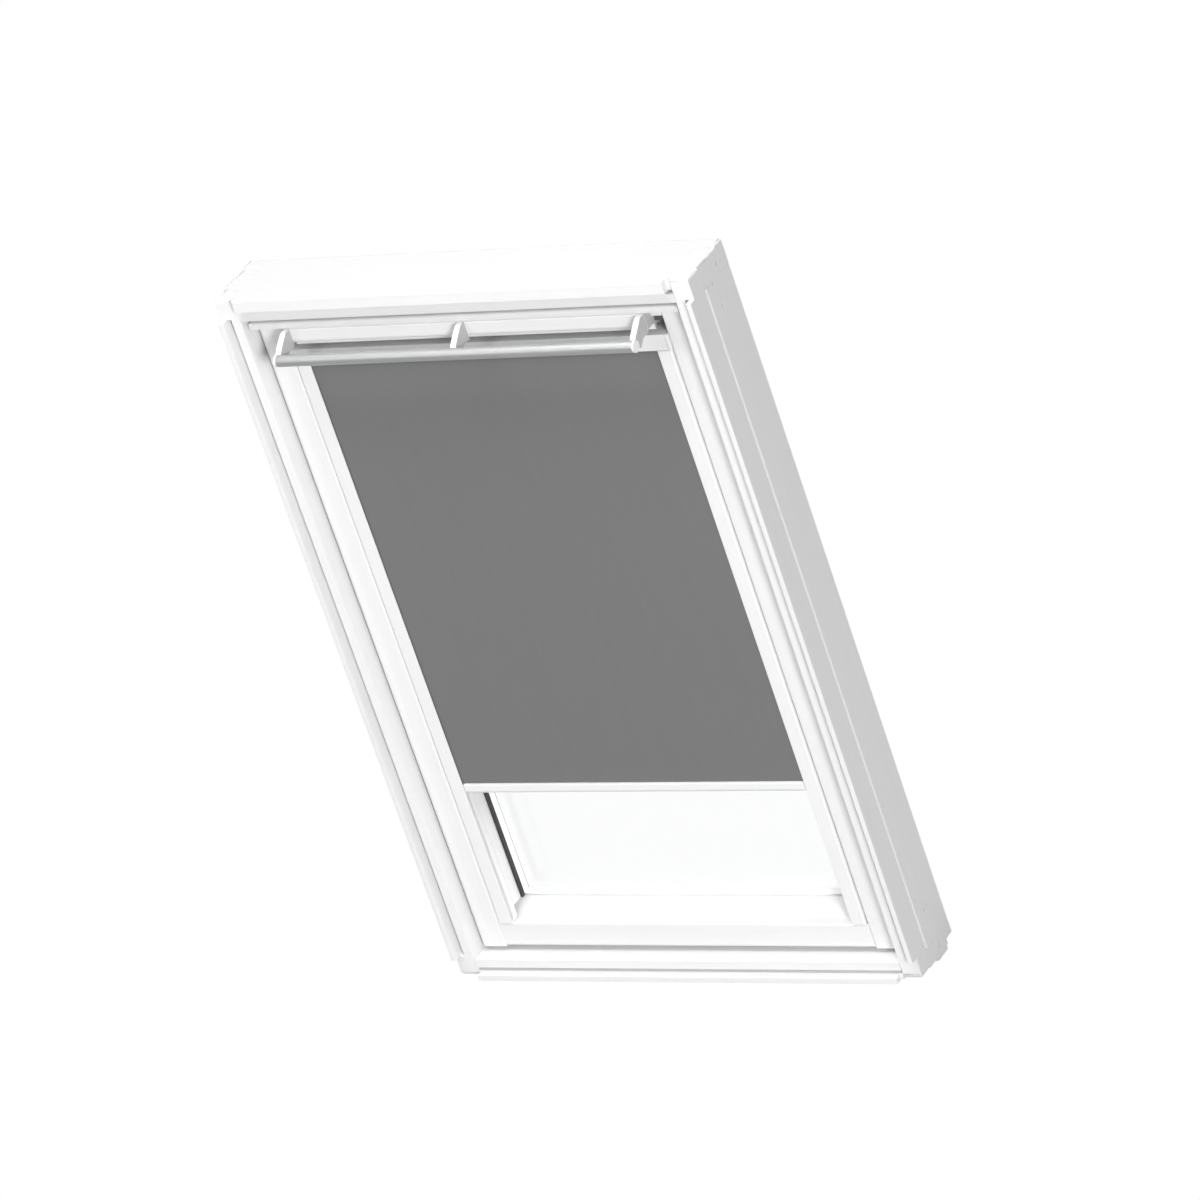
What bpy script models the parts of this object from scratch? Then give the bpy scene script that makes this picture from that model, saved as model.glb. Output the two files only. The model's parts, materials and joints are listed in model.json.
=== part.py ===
"""Centre-pivot roof window, 660 x 978 mm, with a roller blind fitted to its sash.

The window stands upright: +X runs across it, +Z runs up it, and the room is on the -Y side.
Depths are measured from the front of the frame's lip, which faces the room, towards the outside.
The origin is the middle of the flat underside of the frame's sill.
"""

import math

import bmesh
import bpy
from mathutils import Matrix, Vector

MM = 0.001

# Fits
SEAT_GAP = 0.3 * MM
RUNNING_GAP = 0.3 * MM
JOINT_GAP = 0.15 * MM
CUT_SPARE = 5 * MM

# Frame
FRAME_WIDTH = 660 * MM
FRAME_HEIGHT = 978 * MM
FRAME_DEPTH = 100.5 * MM
ORIGIN_DEPTH = 50 * MM
JAMB_WIDTH = 26 * MM
HEAD_HEIGHT = 33 * MM
SILL_HEIGHT = 24 * MM
LIP_PROUD = 10.5 * MM
JAMB_LIP = 6.5 * MM
HEAD_LIP = 16 * MM
SILL_LIP = 8 * MM
LIP_END = 30 * MM
RAIL_LIP_SETBACK = 4 * MM
JAMB_GROOVE = 7 * MM
RAIL_GROOVE = 5 * MM
GROOVE_DEPTH = 9.5 * MM
FINGER_LINES = (34 * MM, 58.5 * MM, 81.5 * MM)
SIDE_GROOVE_DEPTH = 37 * MM
SIDE_GROOVE_WIDTH = 3 * MM
SIDE_GROOVE_CUT = 2.5 * MM
SILL_REBATE_DEPTH = 85 * MM
SILL_REBATE_HEIGHT = 9 * MM
TENON_DROP = 6.5 * MM
SCREW_HOLE_RADIUS = 2.2 * MM
SCREW_HOLE_LENGTH = 12 * MM
SCREW_HOLES_FROM_HEAD = ((75 * MM, 20 * MM), (54.5 * MM, 35 * MM), (62 * MM, 67 * MM))
SCREW_HOLES_FROM_SILL = ((59 * MM, 68 * MM), (33 * MM, 35 * MM), (68 * MM, 12 * MM))
FRAME_COVER_THICKNESS = 5 * MM
FRAME_COVER_INSET = 9 * MM

# Sash
SASH_SIDE_GAP = 3.5 * MM
SASH_HEAD_GAP = 11 * MM
SASH_SILL_GAP = 6.5 * MM
SASH_FRONT = 31 * MM
SASH_BACK_INSET = 8.5 * MM
SASH_EDGE_ROUND = 6 * MM
STILE_FACE = 36.2 * MM
SILL_FACE = 34.5 * MM
HEAD_STRIP = 16.5 * MM
HEAD_WALL = 6 * MM
HEAD_DROP = 66 * MM
RAIL_LEDGE = 15.5 * MM
STEP_WIDTH = 21 * MM
GLASS_REBATE = 11 * MM
GLASS_BED = 39 * MM
BEVEL_RISE = 16.6 * MM
PANE_THICKNESS = 4 * MM
PANE_EDGE_GAP = 1.5 * MM
PANE_FACE_GAP = 1 * MM
SPACER_INSET = 1 * MM
SPACER_WIDTH = 9 * MM
GASKET_WIDTH = 3 * MM
GASKET_DEPTH = 6.4 * MM
SASH_COVER_THICKNESS = 7 * MM
SASH_COVER_OVERLAP = 5 * MM
SASH_COVER_INSET = 1 * MM
COVER_EDGE = 1.2 * MM

# Centre pivot
PIVOT_PLATE_HEIGHT = 60 * MM
PIVOT_PLATE_WIDTH = 24 * MM
PIVOT_PLATE_THICKNESS = 2.8 * MM
PIVOT_PIN_RADIUS = 4 * MM
PIVOT_PIN_ROOT = 1 * MM

# Ventilation flap and control bar
FLAP_GAP = 0.7 * MM
FLAP_HEIGHT = 17.6 * MM
FLAP_THICKNESS = 4 * MM
FLAP_END_GAP = 13 * MM
FLAP_PROUD = 15 * MM
FLAP_BLOCK_RISE = 12 * MM
FLAP_BLOCK_FOOT = 8.8 * MM
FLAP_BLOCK_BACK_GAP = 0.5 * MM
HEAD_BEAD_HEIGHT = 8 * MM
HEAD_BEAD_INSET = 0.5 * MM
FLAP_AXIS_BACK = 5 * MM
FLAP_AXIS_DROP = 2.8 * MM
TRUNNION_RADIUS = 2 * MM
TRUNNION_END_GAP = 2.8 * MM
PIVOT_BLOCK_SIZE = 7 * MM
BEARING_GAP = 1.5 * MM
FLAP_SEAL_INSET = 1 * MM
FLAP_SEAL_HEIGHT = 4 * MM
FLAP_SEAL_THICKNESS = 1.5 * MM
BRACKET_WIDTH = 7.6 * MM
BAR_RADIUS = 7.3 * MM
BAR_DEPTH = -18 * MM
BAR_BELOW_AXIS = 8.7 * MM
BRACKET_TOP = ((0, 0), (8.4 * MM, 0), (22.5 * MM, -9.1 * MM), (35.2 * MM, -19.1 * MM))
BRACKET_UNDERSIDE = (
    (37 * MM, -24.7 * MM), (25 * MM, -30.5 * MM), (15.3 * MM, -24.1 * MM), (7.3 * MM, -22.1 * MM),
    (0, -23.8 * MM))
BAR_CAP = 3 * MM
VENT_SLOTS = 4
VENT_SLOT_LENGTH = 90 * MM
VENT_SLOT_BRIDGE = 20 * MM
VENT_SLOT_HEIGHT = 10 * MM
VENT_SLOT_RISE = 40 * MM
FILTER_THICKNESS = 6 * MM
FILTER_MARGIN = 2 * MM

# Lock and barrel bolt
LOCK_HALF_WIDTH = 12 * MM
LOCK_FRONT = 9 * MM
CLAW_HALF_WIDTH = 4 * MM
CLAW_AXIS_INSET = 9 * MM
CLAW_AXIS_DROP = 6 * MM
CLAW_REACH = 30 * MM
CLAW_THICKNESS = 8 * MM
CLAW_HOOK = 6 * MM
CLAW_SIDE_GAP = 1 * MM
CLAW_SWEEP = 18 * MM
LOCK_WALL = 1.2 * MM
CLAW_PIN_RADIUS = 2 * MM
CLAW_PIN_OVERHANG = 1.5 * MM
KEEP_THICKNESS = 1.5 * MM
BOLT_RADIUS = 2.5 * MM
BOLT_DEPTH = 46 * MM
BOLT_RISE = 5 * MM
BOLT_LENGTH = 70 * MM
BOLT_TRAVEL = 12 * MM
BOLT_KNOB = 1.5 * MM
BOLT_GUIDE_WALL = 2 * MM

# Roller blind
RAIL_WIDTH = 19.3 * MM
RAIL_FRONT = 30 * MM
RAIL_THICKNESS = 16 * MM
RAIL_WALL = 1.5 * MM
RAIL_SLOT = 6 * MM
RAIL_SLOT_REACH = 14.8 * MM
CASING_GAP = 6.8 * MM
CASING_HEIGHT = 21.4 * MM
CASING_THICKNESS = 25 * MM
CASING_WALL = 1.2 * MM
CASING_MOUTH = 7 * MM
RAIL_STILE_GAP = 1.8 * MM
CASING_STILE_GAP = 0.5 * MM
CLOTH_DEPTH = 33 * MM
CLOTH_THICKNESS = 0.4 * MM
CLOTH_IN_SLOT = 9 * MM
CASING_CAP = 5 * MM
ROLLER_END_GAP = 5 * MM
CLOTH_DROP = 599.7 * MM
TUBE_RADIUS = 7 * MM
TUBE_WALL = 1 * MM
ROLL_BUILD = 1.2 * MM
PLUG_FLANGE = 1.5 * MM
PLUG_DEPTH = 14 * MM
SPINDLE_RADIUS = 2.5 * MM
BAR_HEIGHT = 14 * MM
BAR_THICKNESS = 7.5 * MM
BAR_END_GAP = 1 * MM
BAR_SLOPE_HEIGHT = 4.6 * MM
BAR_SLOPE_DEPTH = 3.4 * MM
BAR_PROUD = 0.5 * MM
BAR_EDGE = 1.5 * MM
GLIDE_HEIGHT = 12 * MM
STOP_HEIGHT = 3.5 * MM

# Places worked out from the sizes above
HALF_WIDTH = FRAME_WIDTH / 2
OPENING_HALF = HALF_WIDTH - JAMB_WIDTH
OPENING_TOP = FRAME_HEIGHT - HEAD_HEIGHT
SASH_HALF = OPENING_HALF - SASH_SIDE_GAP
SASH_TOP = OPENING_TOP - SASH_HEAD_GAP
SASH_BOTTOM = SILL_HEIGHT + SASH_SILL_GAP
SASH_BACK = FRAME_DEPTH - SASH_BACK_INSET
STILE_INNER = SASH_HALF - STILE_FACE
SIGHT_HALF = STILE_INNER - STEP_WIDTH
FLAP_HALF_WIDTH = STILE_INNER - FLAP_END_GAP
BRACKET_SPACING = FLAP_HALF_WIDTH - BRACKET_WIDTH / 2
LEDGE_Z = SASH_BOTTOM + SILL_FACE
GLASS_FACE = SASH_FRONT + GLASS_BED
LEDGE_BACK = SASH_FRONT + RAIL_LEDGE
SIGHT_BOTTOM = LEDGE_Z + BEVEL_RISE
STRIP_BOTTOM = SASH_TOP - HEAD_STRIP
SIGHT_TOP = SASH_TOP - HEAD_DROP
WALL_FRONT = GLASS_FACE - HEAD_WALL
PIVOT_Z = (SASH_TOP + SASH_BOTTOM) / 2
PIVOT_DEPTH = (SASH_FRONT + SASH_BACK) / 2
FLAP_TOP = STRIP_BOTTOM - FLAP_GAP
FLAP_BOTTOM = FLAP_TOP - FLAP_HEIGHT
FLAP_FRONT = SASH_FRONT - FLAP_PROUD
FLAP_BLOCK_TOP = FLAP_TOP + FLAP_BLOCK_RISE
FLAP_AXIS_Z = FLAP_TOP - FLAP_AXIS_DROP
FLAP_AXIS_DEPTH = SASH_FRONT + FLAP_AXIS_BACK
BAR_Z = FLAP_AXIS_Z - BAR_BELOW_AXIS
CLAW_AXIS_Z = STRIP_BOTTOM - CLAW_AXIS_DROP
CLAW_AXIS_DEPTH = WALL_FRONT - CLAW_AXIS_INSET
CASING_TOP = FLAP_BOTTOM - CASING_GAP
CASING_BOTTOM = CASING_TOP - CASING_HEIGHT
RAIL_OUTER = STILE_INNER - RAIL_STILE_GAP
RAIL_INNER = RAIL_OUTER - RAIL_WIDTH
RAIL_BACK = RAIL_FRONT + RAIL_THICKNESS
SLOT_FRONT = RAIL_FRONT + RAIL_WALL
SLOT_BACK = SLOT_FRONT + RAIL_SLOT
SLOT_END = RAIL_INNER + RAIL_SLOT_REACH
CASING_OUTER = STILE_INNER - CASING_STILE_GAP
CASING_HALF = CASING_OUTER - CASING_CAP
ROLLER_HALF = CASING_HALF - ROLLER_END_GAP
CLOTH_HALF = RAIL_INNER + CLOTH_IN_SLOT
ROLL_RADIUS = TUBE_RADIUS + ROLL_BUILD
ROLL_DEPTH = CLOTH_DEPTH + CLOTH_THICKNESS / 2 + SEAT_GAP + ROLL_RADIUS
ROLL_Z = (CASING_TOP + CASING_BOTTOM) / 2
BAR_TOP = CASING_BOTTOM - CLOTH_DROP
BAR_BOTTOM = BAR_TOP - BAR_HEIGHT

WHITE = (0.86, 0.86, 0.86)
LIGHT_GREY = (0.60, 0.61, 0.62)
CLOTH_GREY = (0.216, 0.216, 0.216)
DARK_GREY = (0.09, 0.095, 0.10)
MATERIALS = {
    "white_lacquer": (WHITE, 0.32, 0.0),
    "white_plastic": (WHITE, 0.38, 0.0),
    "anodised_bar": (LIGHT_GREY, 0.32, 0.85),
    "zinc_fitting": (LIGHT_GREY, 0.35, 0.9),
    "dark_cover": (DARK_GREY, 0.45, 0.6),
    "seal_rubber": ((0.04, 0.04, 0.042), 0.7, 0.0),
    "clear_glass": ((0.93, 0.95, 0.95), 0.03, 0.0),
    "spacer_steel": (LIGHT_GREY, 0.4, 0.9),
    "filter_foam": ((0.5, 0.5, 0.5), 0.9, 0.0),
    "glide_plastic": (DARK_GREY, 0.5, 0.0),
    "blind_fabric": (CLOTH_GREY, 0.85, 0.0),
}


def at(x, depth, z):
    """A point from its distance across, its depth from the lip and its height."""
    return Vector((x, depth - ORIGIN_DEPTH, z))


def new_collection(name):
    collection = bpy.data.collections.new(name)
    bpy.context.scene.collection.children.link(collection)
    return collection


def material(name):
    existing = bpy.data.materials.get(name)
    if existing:
        return existing
    colour, roughness, metallic = MATERIALS[name]
    made = bpy.data.materials.new(name)
    made.use_nodes = True
    surface = made.node_tree.nodes["Principled BSDF"]
    surface.inputs["Base Color"].default_value = (*colour, 1.0)
    surface.inputs["Roughness"].default_value = roughness
    surface.inputs["Metallic"].default_value = metallic
    if name == "clear_glass":
        surface.inputs["Transmission Weight"].default_value = 1.0
    return made


def add_object(name, mesh, finish, collection, pivot=None):
    piece = bpy.data.objects.new(name, mesh)
    collection.objects.link(piece)
    if finish:
        mesh.materials.append(material(finish))
    if pivot:
        piece.parent = pivot
        piece.matrix_parent_inverse = Matrix.Translation(pivot.location).inverted()
    return piece


def pivot_empty(name, location, collection, parent=None):
    empty = bpy.data.objects.new(name, None)
    empty.location = location
    empty.empty_display_size = 20 * MM
    collection.objects.link(empty)
    if parent:
        empty.parent = parent
        empty.matrix_parent_inverse = Matrix.Translation(parent.location).inverted()
    return empty


def box_mesh(name, x_range, depth_range, z_range):
    low = at(x_range[0], depth_range[0], z_range[0])
    high = at(x_range[1], depth_range[1], z_range[1])
    size = high - low
    shape = bmesh.new()
    placed = Matrix.Translation((low + high) / 2) @ Matrix.Diagonal((*size, 1.0))
    bmesh.ops.create_cube(shape, size=1.0, matrix=placed)
    mesh = bpy.data.meshes.new(name)
    shape.to_mesh(mesh)
    shape.free()
    return mesh


def rod_mesh(name, x_range, depth, z, radius, sides=24):
    length = x_range[1] - x_range[0]
    middle = at((x_range[0] + x_range[1]) / 2, depth, z)
    shape = bmesh.new()
    bmesh.ops.create_cone(
        shape, cap_ends=True, segments=sides, radius1=radius, radius2=radius, depth=length,
        matrix=Matrix.Translation(middle) @ Matrix.Rotation(math.pi / 2, 4, "Y"))
    mesh = bpy.data.meshes.new(name)
    shape.to_mesh(mesh)
    shape.free()
    mesh.shade_smooth()
    mesh.set_sharp_from_angle(angle=math.radians(40))
    return mesh


def ring_mesh(name, x_range, depth, z, outer, inner, sides=24):
    """A sleeve round an axis along X, turned from its four-cornered wall profile."""
    corners = ((outer, x_range[1]), (outer, x_range[0]), (inner, x_range[0]), (inner, x_range[1]))
    profile = bpy.data.meshes.new(name + "_profile")
    edges = [(i, (i + 1) % 4) for i in range(4)]
    profile.from_pydata([(radius, 0, along) for radius, along in corners], edges, [])
    turned = bpy.data.objects.new(name + "_turned", profile)
    bpy.context.scene.collection.objects.link(turned)
    screw = turned.modifiers.new("turn", "SCREW")
    screw.steps = sides
    screw.render_steps = sides
    screw.use_merge_vertices = True
    screw.merge_threshold = 0.01 * MM
    mesh = evaluated_mesh(turned, name)
    bpy.data.objects.remove(turned)
    mesh.transform(Matrix.Translation(at(0, depth, z)) @ Matrix.Rotation(math.pi / 2, 4, "Y"))
    mesh.shade_smooth()
    mesh.set_sharp_from_angle(angle=math.radians(40))
    return mesh


def evaluated_mesh(source, name):
    bpy.context.view_layer.update()
    graph = bpy.context.evaluated_depsgraph_get()
    mesh = bpy.data.meshes.new_from_object(source.evaluated_get(graph))
    mesh.name = name
    shape = bmesh.new()
    shape.from_mesh(mesh)
    bmesh.ops.remove_doubles(shape, verts=shape.verts, dist=0.01 * MM)
    bmesh.ops.recalc_face_normals(shape, faces=shape.faces)
    shape.to_mesh(mesh)
    shape.free()
    return mesh


def outline_mesh(name, outlines, length):
    """A flat outline, with any holes as further outlines, thickened to a length about its plane."""
    curve = bpy.data.curves.new(name + "_outline", "CURVE")
    curve.dimensions = "2D"
    curve.fill_mode = "BOTH"
    curve.extrude = length / 2
    for outline in outlines:
        spline = curve.splines.new("POLY")
        spline.points.add(len(outline) - 1)
        for point, (across, up) in zip(spline.points, outline):
            point.co = (across, up, 0, 1)
        spline.use_cyclic_u = True
    flat = bpy.data.objects.new(name + "_outline", curve)
    bpy.context.scene.collection.objects.link(flat)
    mesh = evaluated_mesh(flat, name)
    bpy.data.objects.remove(flat)
    return mesh


def upright_mesh(name, outline, z_range):
    """An outline of (x, depth) points run up the window."""
    mesh = outline_mesh(name, [[(x, depth - ORIGIN_DEPTH) for x, depth in outline]], z_range[1] - z_range[0])
    mesh.transform(Matrix.Translation((0, 0, (z_range[0] + z_range[1]) / 2)))
    return mesh


def across_mesh(name, outline, x_range):
    """An outline of (depth, z) points run across the window."""
    mesh = outline_mesh(name, [[(depth - ORIGIN_DEPTH, z) for depth, z in outline]], x_range[1] - x_range[0])
    turn = Matrix.Rotation(math.pi / 2, 4, "Z") @ Matrix.Rotation(math.pi / 2, 4, "X")
    mesh.transform(Matrix.Translation(((x_range[0] + x_range[1]) / 2, 0, 0)) @ turn)
    return mesh


def facing_ring_mesh(name, outer, inner, depth_range):
    """A rectangular ring in the window's plane: each rectangle is (half width, bottom, top)."""
    outlines = []
    for half, low, high in (outer, inner):
        outlines.append([(-half, low), (half, low), (half, high), (-half, high)])
    mesh = outline_mesh(name, outlines, depth_range[1] - depth_range[0])
    middle = (depth_range[0] + depth_range[1]) / 2 - ORIGIN_DEPTH
    mesh.transform(Matrix.Translation((0, middle, 0)) @ Matrix.Rotation(math.pi / 2, 4, "X"))
    return mesh


def boolean(piece, mesh, operation="DIFFERENCE"):
    cutter = bpy.data.objects.new(piece.name + "_cutter", mesh)
    cutter.hide_render = True
    cutter.display_type = "WIRE"
    cutters.objects.link(cutter)
    step = piece.modifiers.new(operation.lower(), "BOOLEAN")
    step.operation = operation
    step.solver = "EXACT"
    step.object = cutter


def cut_box(piece, x_range, depth_range, z_range):
    boolean(piece, box_mesh(piece.name + "_cut", x_range, depth_range, z_range))


def soften(piece, width, segments=2):
    bevel = piece.modifiers.new("bevel", "BEVEL")
    bevel.width = width
    bevel.segments = segments
    bevel.limit_method = "ANGLE"
    bevel.angle_limit = math.radians(40)


def ordered(a, b):
    return (min(a, b), max(a, b))


def flip(side, outline):
    """The outline of a right-hand piece, mirrored for the left side."""
    points = [(side * x, depth) for x, depth in outline]
    return points if side > 0 else points[::-1]


def side_name(side):
    return "right" if side > 0 else "left"


def finger_bands():
    """The depth bands of the jambs' fingers and of the rails' fingers at the corner joints."""
    first, second, third = FINGER_LINES
    jamb = ((LIP_PROUD, first), (second, third))
    rail = ((first, second), (third, FRAME_DEPTH))
    return jamb, rail


def frame_jamb(side):
    name = "frame_jamb_" + side_name(side)
    groove_back = SIDE_GROOVE_DEPTH + SIDE_GROOVE_WIDTH
    outline = [
        (OPENING_HALF, LIP_PROUD), (HALF_WIDTH - JAMB_LIP, LIP_PROUD), (HALF_WIDTH - JAMB_LIP, 0),
        (HALF_WIDTH, 0), (HALF_WIDTH, SIDE_GROOVE_DEPTH),
        (HALF_WIDTH - SIDE_GROOVE_CUT, SIDE_GROOVE_DEPTH), (HALF_WIDTH - SIDE_GROOVE_CUT, groove_back),
        (HALF_WIDTH, groove_back), (HALF_WIDTH, FRAME_DEPTH), (OPENING_HALF, FRAME_DEPTH)]
    mesh = upright_mesh(name, flip(side, outline), (-TENON_DROP, FRAME_HEIGHT))
    jamb = add_object(name, mesh, "white_lacquer", parts)
    whole = ordered(side * (OPENING_HALF - CUT_SPARE), side * (HALF_WIDTH + CUT_SPARE))
    front = (-CUT_SPARE, LIP_PROUD)
    cut_box(jamb, whole, front, (FRAME_HEIGHT - LIP_END, FRAME_HEIGHT + CUT_SPARE))
    cut_box(jamb, whole, front, (-TENON_DROP - CUT_SPARE, LIP_END))
    lip_inner = HALF_WIDTH - JAMB_LIP
    groove = ordered(side * lip_inner, side * (lip_inner - JAMB_GROOVE))
    groove_depths = (LIP_PROUD - CUT_SPARE, LIP_PROUD + GROOVE_DEPTH)
    cut_box(jamb, groove, groove_depths, (LIP_END, FRAME_HEIGHT - LIP_END))
    jamb_bands, rail_bands = finger_bands()
    for low, high in rail_bands:
        band = (low - JOINT_GAP, high + (CUT_SPARE if high == FRAME_DEPTH else JOINT_GAP))
        cut_box(jamb, whole, band, (OPENING_TOP - SEAT_GAP, FRAME_HEIGHT + CUT_SPARE))
        cut_box(jamb, whole, band, (-TENON_DROP - CUT_SPARE, SILL_HEIGHT + SEAT_GAP))
    cut_box(jamb, whole, (-CUT_SPARE, jamb_bands[0][1] + CUT_SPARE), (-TENON_DROP - CUT_SPARE, 0))
    half_width = PIVOT_PLATE_WIDTH / 2 + SEAT_GAP
    pivot_cut = (PIVOT_DEPTH - half_width, PIVOT_DEPTH + half_width)
    pocket_end = OPENING_HALF + PIVOT_PLATE_THICKNESS + SEAT_GAP
    pocket = ordered(side * (OPENING_HALF - CUT_SPARE), side * pocket_end)
    half_plate = PIVOT_PLATE_HEIGHT / 2 + SEAT_GAP
    cut_box(jamb, pocket, pivot_cut, (PIVOT_Z - half_plate, PIVOT_Z + half_plate))
    drilled = ordered(side * (HALF_WIDTH - SCREW_HOLE_LENGTH), side * (HALF_WIDTH + CUT_SPARE))
    holes = [(depth, FRAME_HEIGHT - drop) for depth, drop in SCREW_HOLES_FROM_HEAD]
    holes += list(SCREW_HOLES_FROM_SILL)
    for depth, z in holes:
        boolean(jamb, rod_mesh(name + "_hole", drilled, depth, z, SCREW_HOLE_RADIUS, 12))
    if side > 0:
        bolt_hole = (OPENING_HALF - CUT_SPARE, OPENING_HALF + BOLT_TRAVEL)
        boolean(jamb, rod_mesh(name + "_bolt_hole", bolt_hole, BOLT_DEPTH, SASH_TOP + BOLT_RISE,
                               BOLT_RADIUS + 3 * RUNNING_GAP, 16))
    return jamb


def cut_rail_ends(rail, corner_z, lip_z):
    jamb_bands, _ = finger_bands()
    for side in (-1, 1):
        corner = ordered(side * (OPENING_HALF - JOINT_GAP), side * (HALF_WIDTH + CUT_SPARE))
        for low, high in jamb_bands:
            front = low - LIP_PROUD - CUT_SPARE if low == LIP_PROUD else low - JOINT_GAP
            cut_box(rail, corner, (front, high + JOINT_GAP), corner_z)
        lip_end = ordered(side * (OPENING_HALF - RAIL_LIP_SETBACK), side * (HALF_WIDTH + CUT_SPARE))
        cut_box(rail, lip_end, (-CUT_SPARE, LIP_PROUD), lip_z)


def frame_head():
    lip_low = FRAME_HEIGHT - HEAD_LIP
    groove_low = lip_low - RAIL_GROOVE
    groove_back = LIP_PROUD + GROOVE_DEPTH
    outline = [
        (0, lip_low), (groove_back, lip_low), (groove_back, groove_low), (LIP_PROUD, groove_low),
        (LIP_PROUD, OPENING_TOP), (FRAME_DEPTH, OPENING_TOP), (FRAME_DEPTH, FRAME_HEIGHT),
        (0, FRAME_HEIGHT)]
    mesh = across_mesh("frame_head", outline, (-HALF_WIDTH, HALF_WIDTH))
    head = add_object("frame_head", mesh, "white_lacquer", parts)
    beyond = (OPENING_TOP - CUT_SPARE, FRAME_HEIGHT + CUT_SPARE)
    cut_rail_ends(head, beyond, beyond)
    return head


def frame_sill():
    groove_high = SILL_LIP + RAIL_GROOVE
    groove_back = LIP_PROUD + GROOVE_DEPTH
    outline = [
        (0, 0), (SILL_REBATE_DEPTH, 0), (SILL_REBATE_DEPTH, SILL_REBATE_HEIGHT),
        (FRAME_DEPTH, SILL_REBATE_HEIGHT), (FRAME_DEPTH, SILL_HEIGHT), (LIP_PROUD, SILL_HEIGHT),
        (LIP_PROUD, groove_high), (groove_back, groove_high), (groove_back, SILL_LIP), (0, SILL_LIP)]
    mesh = across_mesh("frame_sill", outline, (-HALF_WIDTH, HALF_WIDTH))
    sill = add_object("frame_sill", mesh, "white_lacquer", parts)
    beyond = (-CUT_SPARE, SILL_HEIGHT + CUT_SPARE)
    cut_rail_ends(sill, beyond, beyond)
    return sill


def frame_covers():
    """Aluminium profiles that cover the outside of the frame."""
    depths = (FRAME_DEPTH + SEAT_GAP, FRAME_DEPTH + SEAT_GAP + FRAME_COVER_THICKNESS)
    outer = HALF_WIDTH - FRAME_COVER_INSET
    low = FRAME_COVER_INSET + SEAT_GAP
    high = FRAME_HEIGHT - FRAME_COVER_INSET
    for side in (-1, 1):
        name = "frame_cover_" + side_name(side)
        mesh = box_mesh(name, ordered(side * (OPENING_HALF + SEAT_GAP), side * outer), depths, (low, high))
        soften(add_object(name, mesh, "dark_cover", parts), COVER_EDGE, 1)
    inner = (-OPENING_HALF, OPENING_HALF)
    head = box_mesh("frame_cover_head", inner, depths, (OPENING_TOP + SEAT_GAP, high))
    soften(add_object("frame_cover_head", head, "dark_cover", parts), COVER_EDGE, 1)
    sill = box_mesh("frame_cover_sill", inner, depths, (low, SILL_HEIGHT - SEAT_GAP))
    soften(add_object("frame_cover_sill", sill, "dark_cover", parts), COVER_EDGE, 1)


def pivot_fittings(sash_pivot):
    half_plate = PIVOT_PLATE_HEIGHT / 2
    depths = (PIVOT_DEPTH - PIVOT_PLATE_WIDTH / 2, PIVOT_DEPTH + PIVOT_PLATE_WIDTH / 2)
    heights = (PIVOT_Z - half_plate, PIVOT_Z + half_plate)
    for side in (-1, 1):
        cup_name = "pivot_cup_" + side_name(side)
        cup_x = ordered(side * OPENING_HALF, side * (OPENING_HALF + PIVOT_PLATE_THICKNESS))
        cup = add_object(cup_name, box_mesh(cup_name, cup_x, depths, heights), "zinc_fitting", parts)
        bore = (cup_x[0] - CUT_SPARE, cup_x[1] + CUT_SPARE)
        bore_radius = PIVOT_PIN_RADIUS + RUNNING_GAP
        boolean(cup, rod_mesh(cup_name + "_bore", bore, PIVOT_DEPTH, PIVOT_Z, bore_radius))
        arm_name = "pivot_arm_" + side_name(side)
        arm_x = ordered(side * (SASH_HALF - PIVOT_PLATE_THICKNESS), side * SASH_HALF)
        arm_mesh = box_mesh(arm_name, arm_x, depths, heights)
        arm = add_object(arm_name, arm_mesh, "zinc_fitting", parts, sash_pivot)
        pin_end = OPENING_HALF + PIVOT_PLATE_THICKNESS - SEAT_GAP
        pin_x = ordered(side * (SASH_HALF - PIVOT_PIN_ROOT), side * pin_end)
        boolean(arm, rod_mesh(arm_name + "_pin", pin_x, PIVOT_DEPTH, PIVOT_Z, PIVOT_PIN_RADIUS), "UNION")


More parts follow.
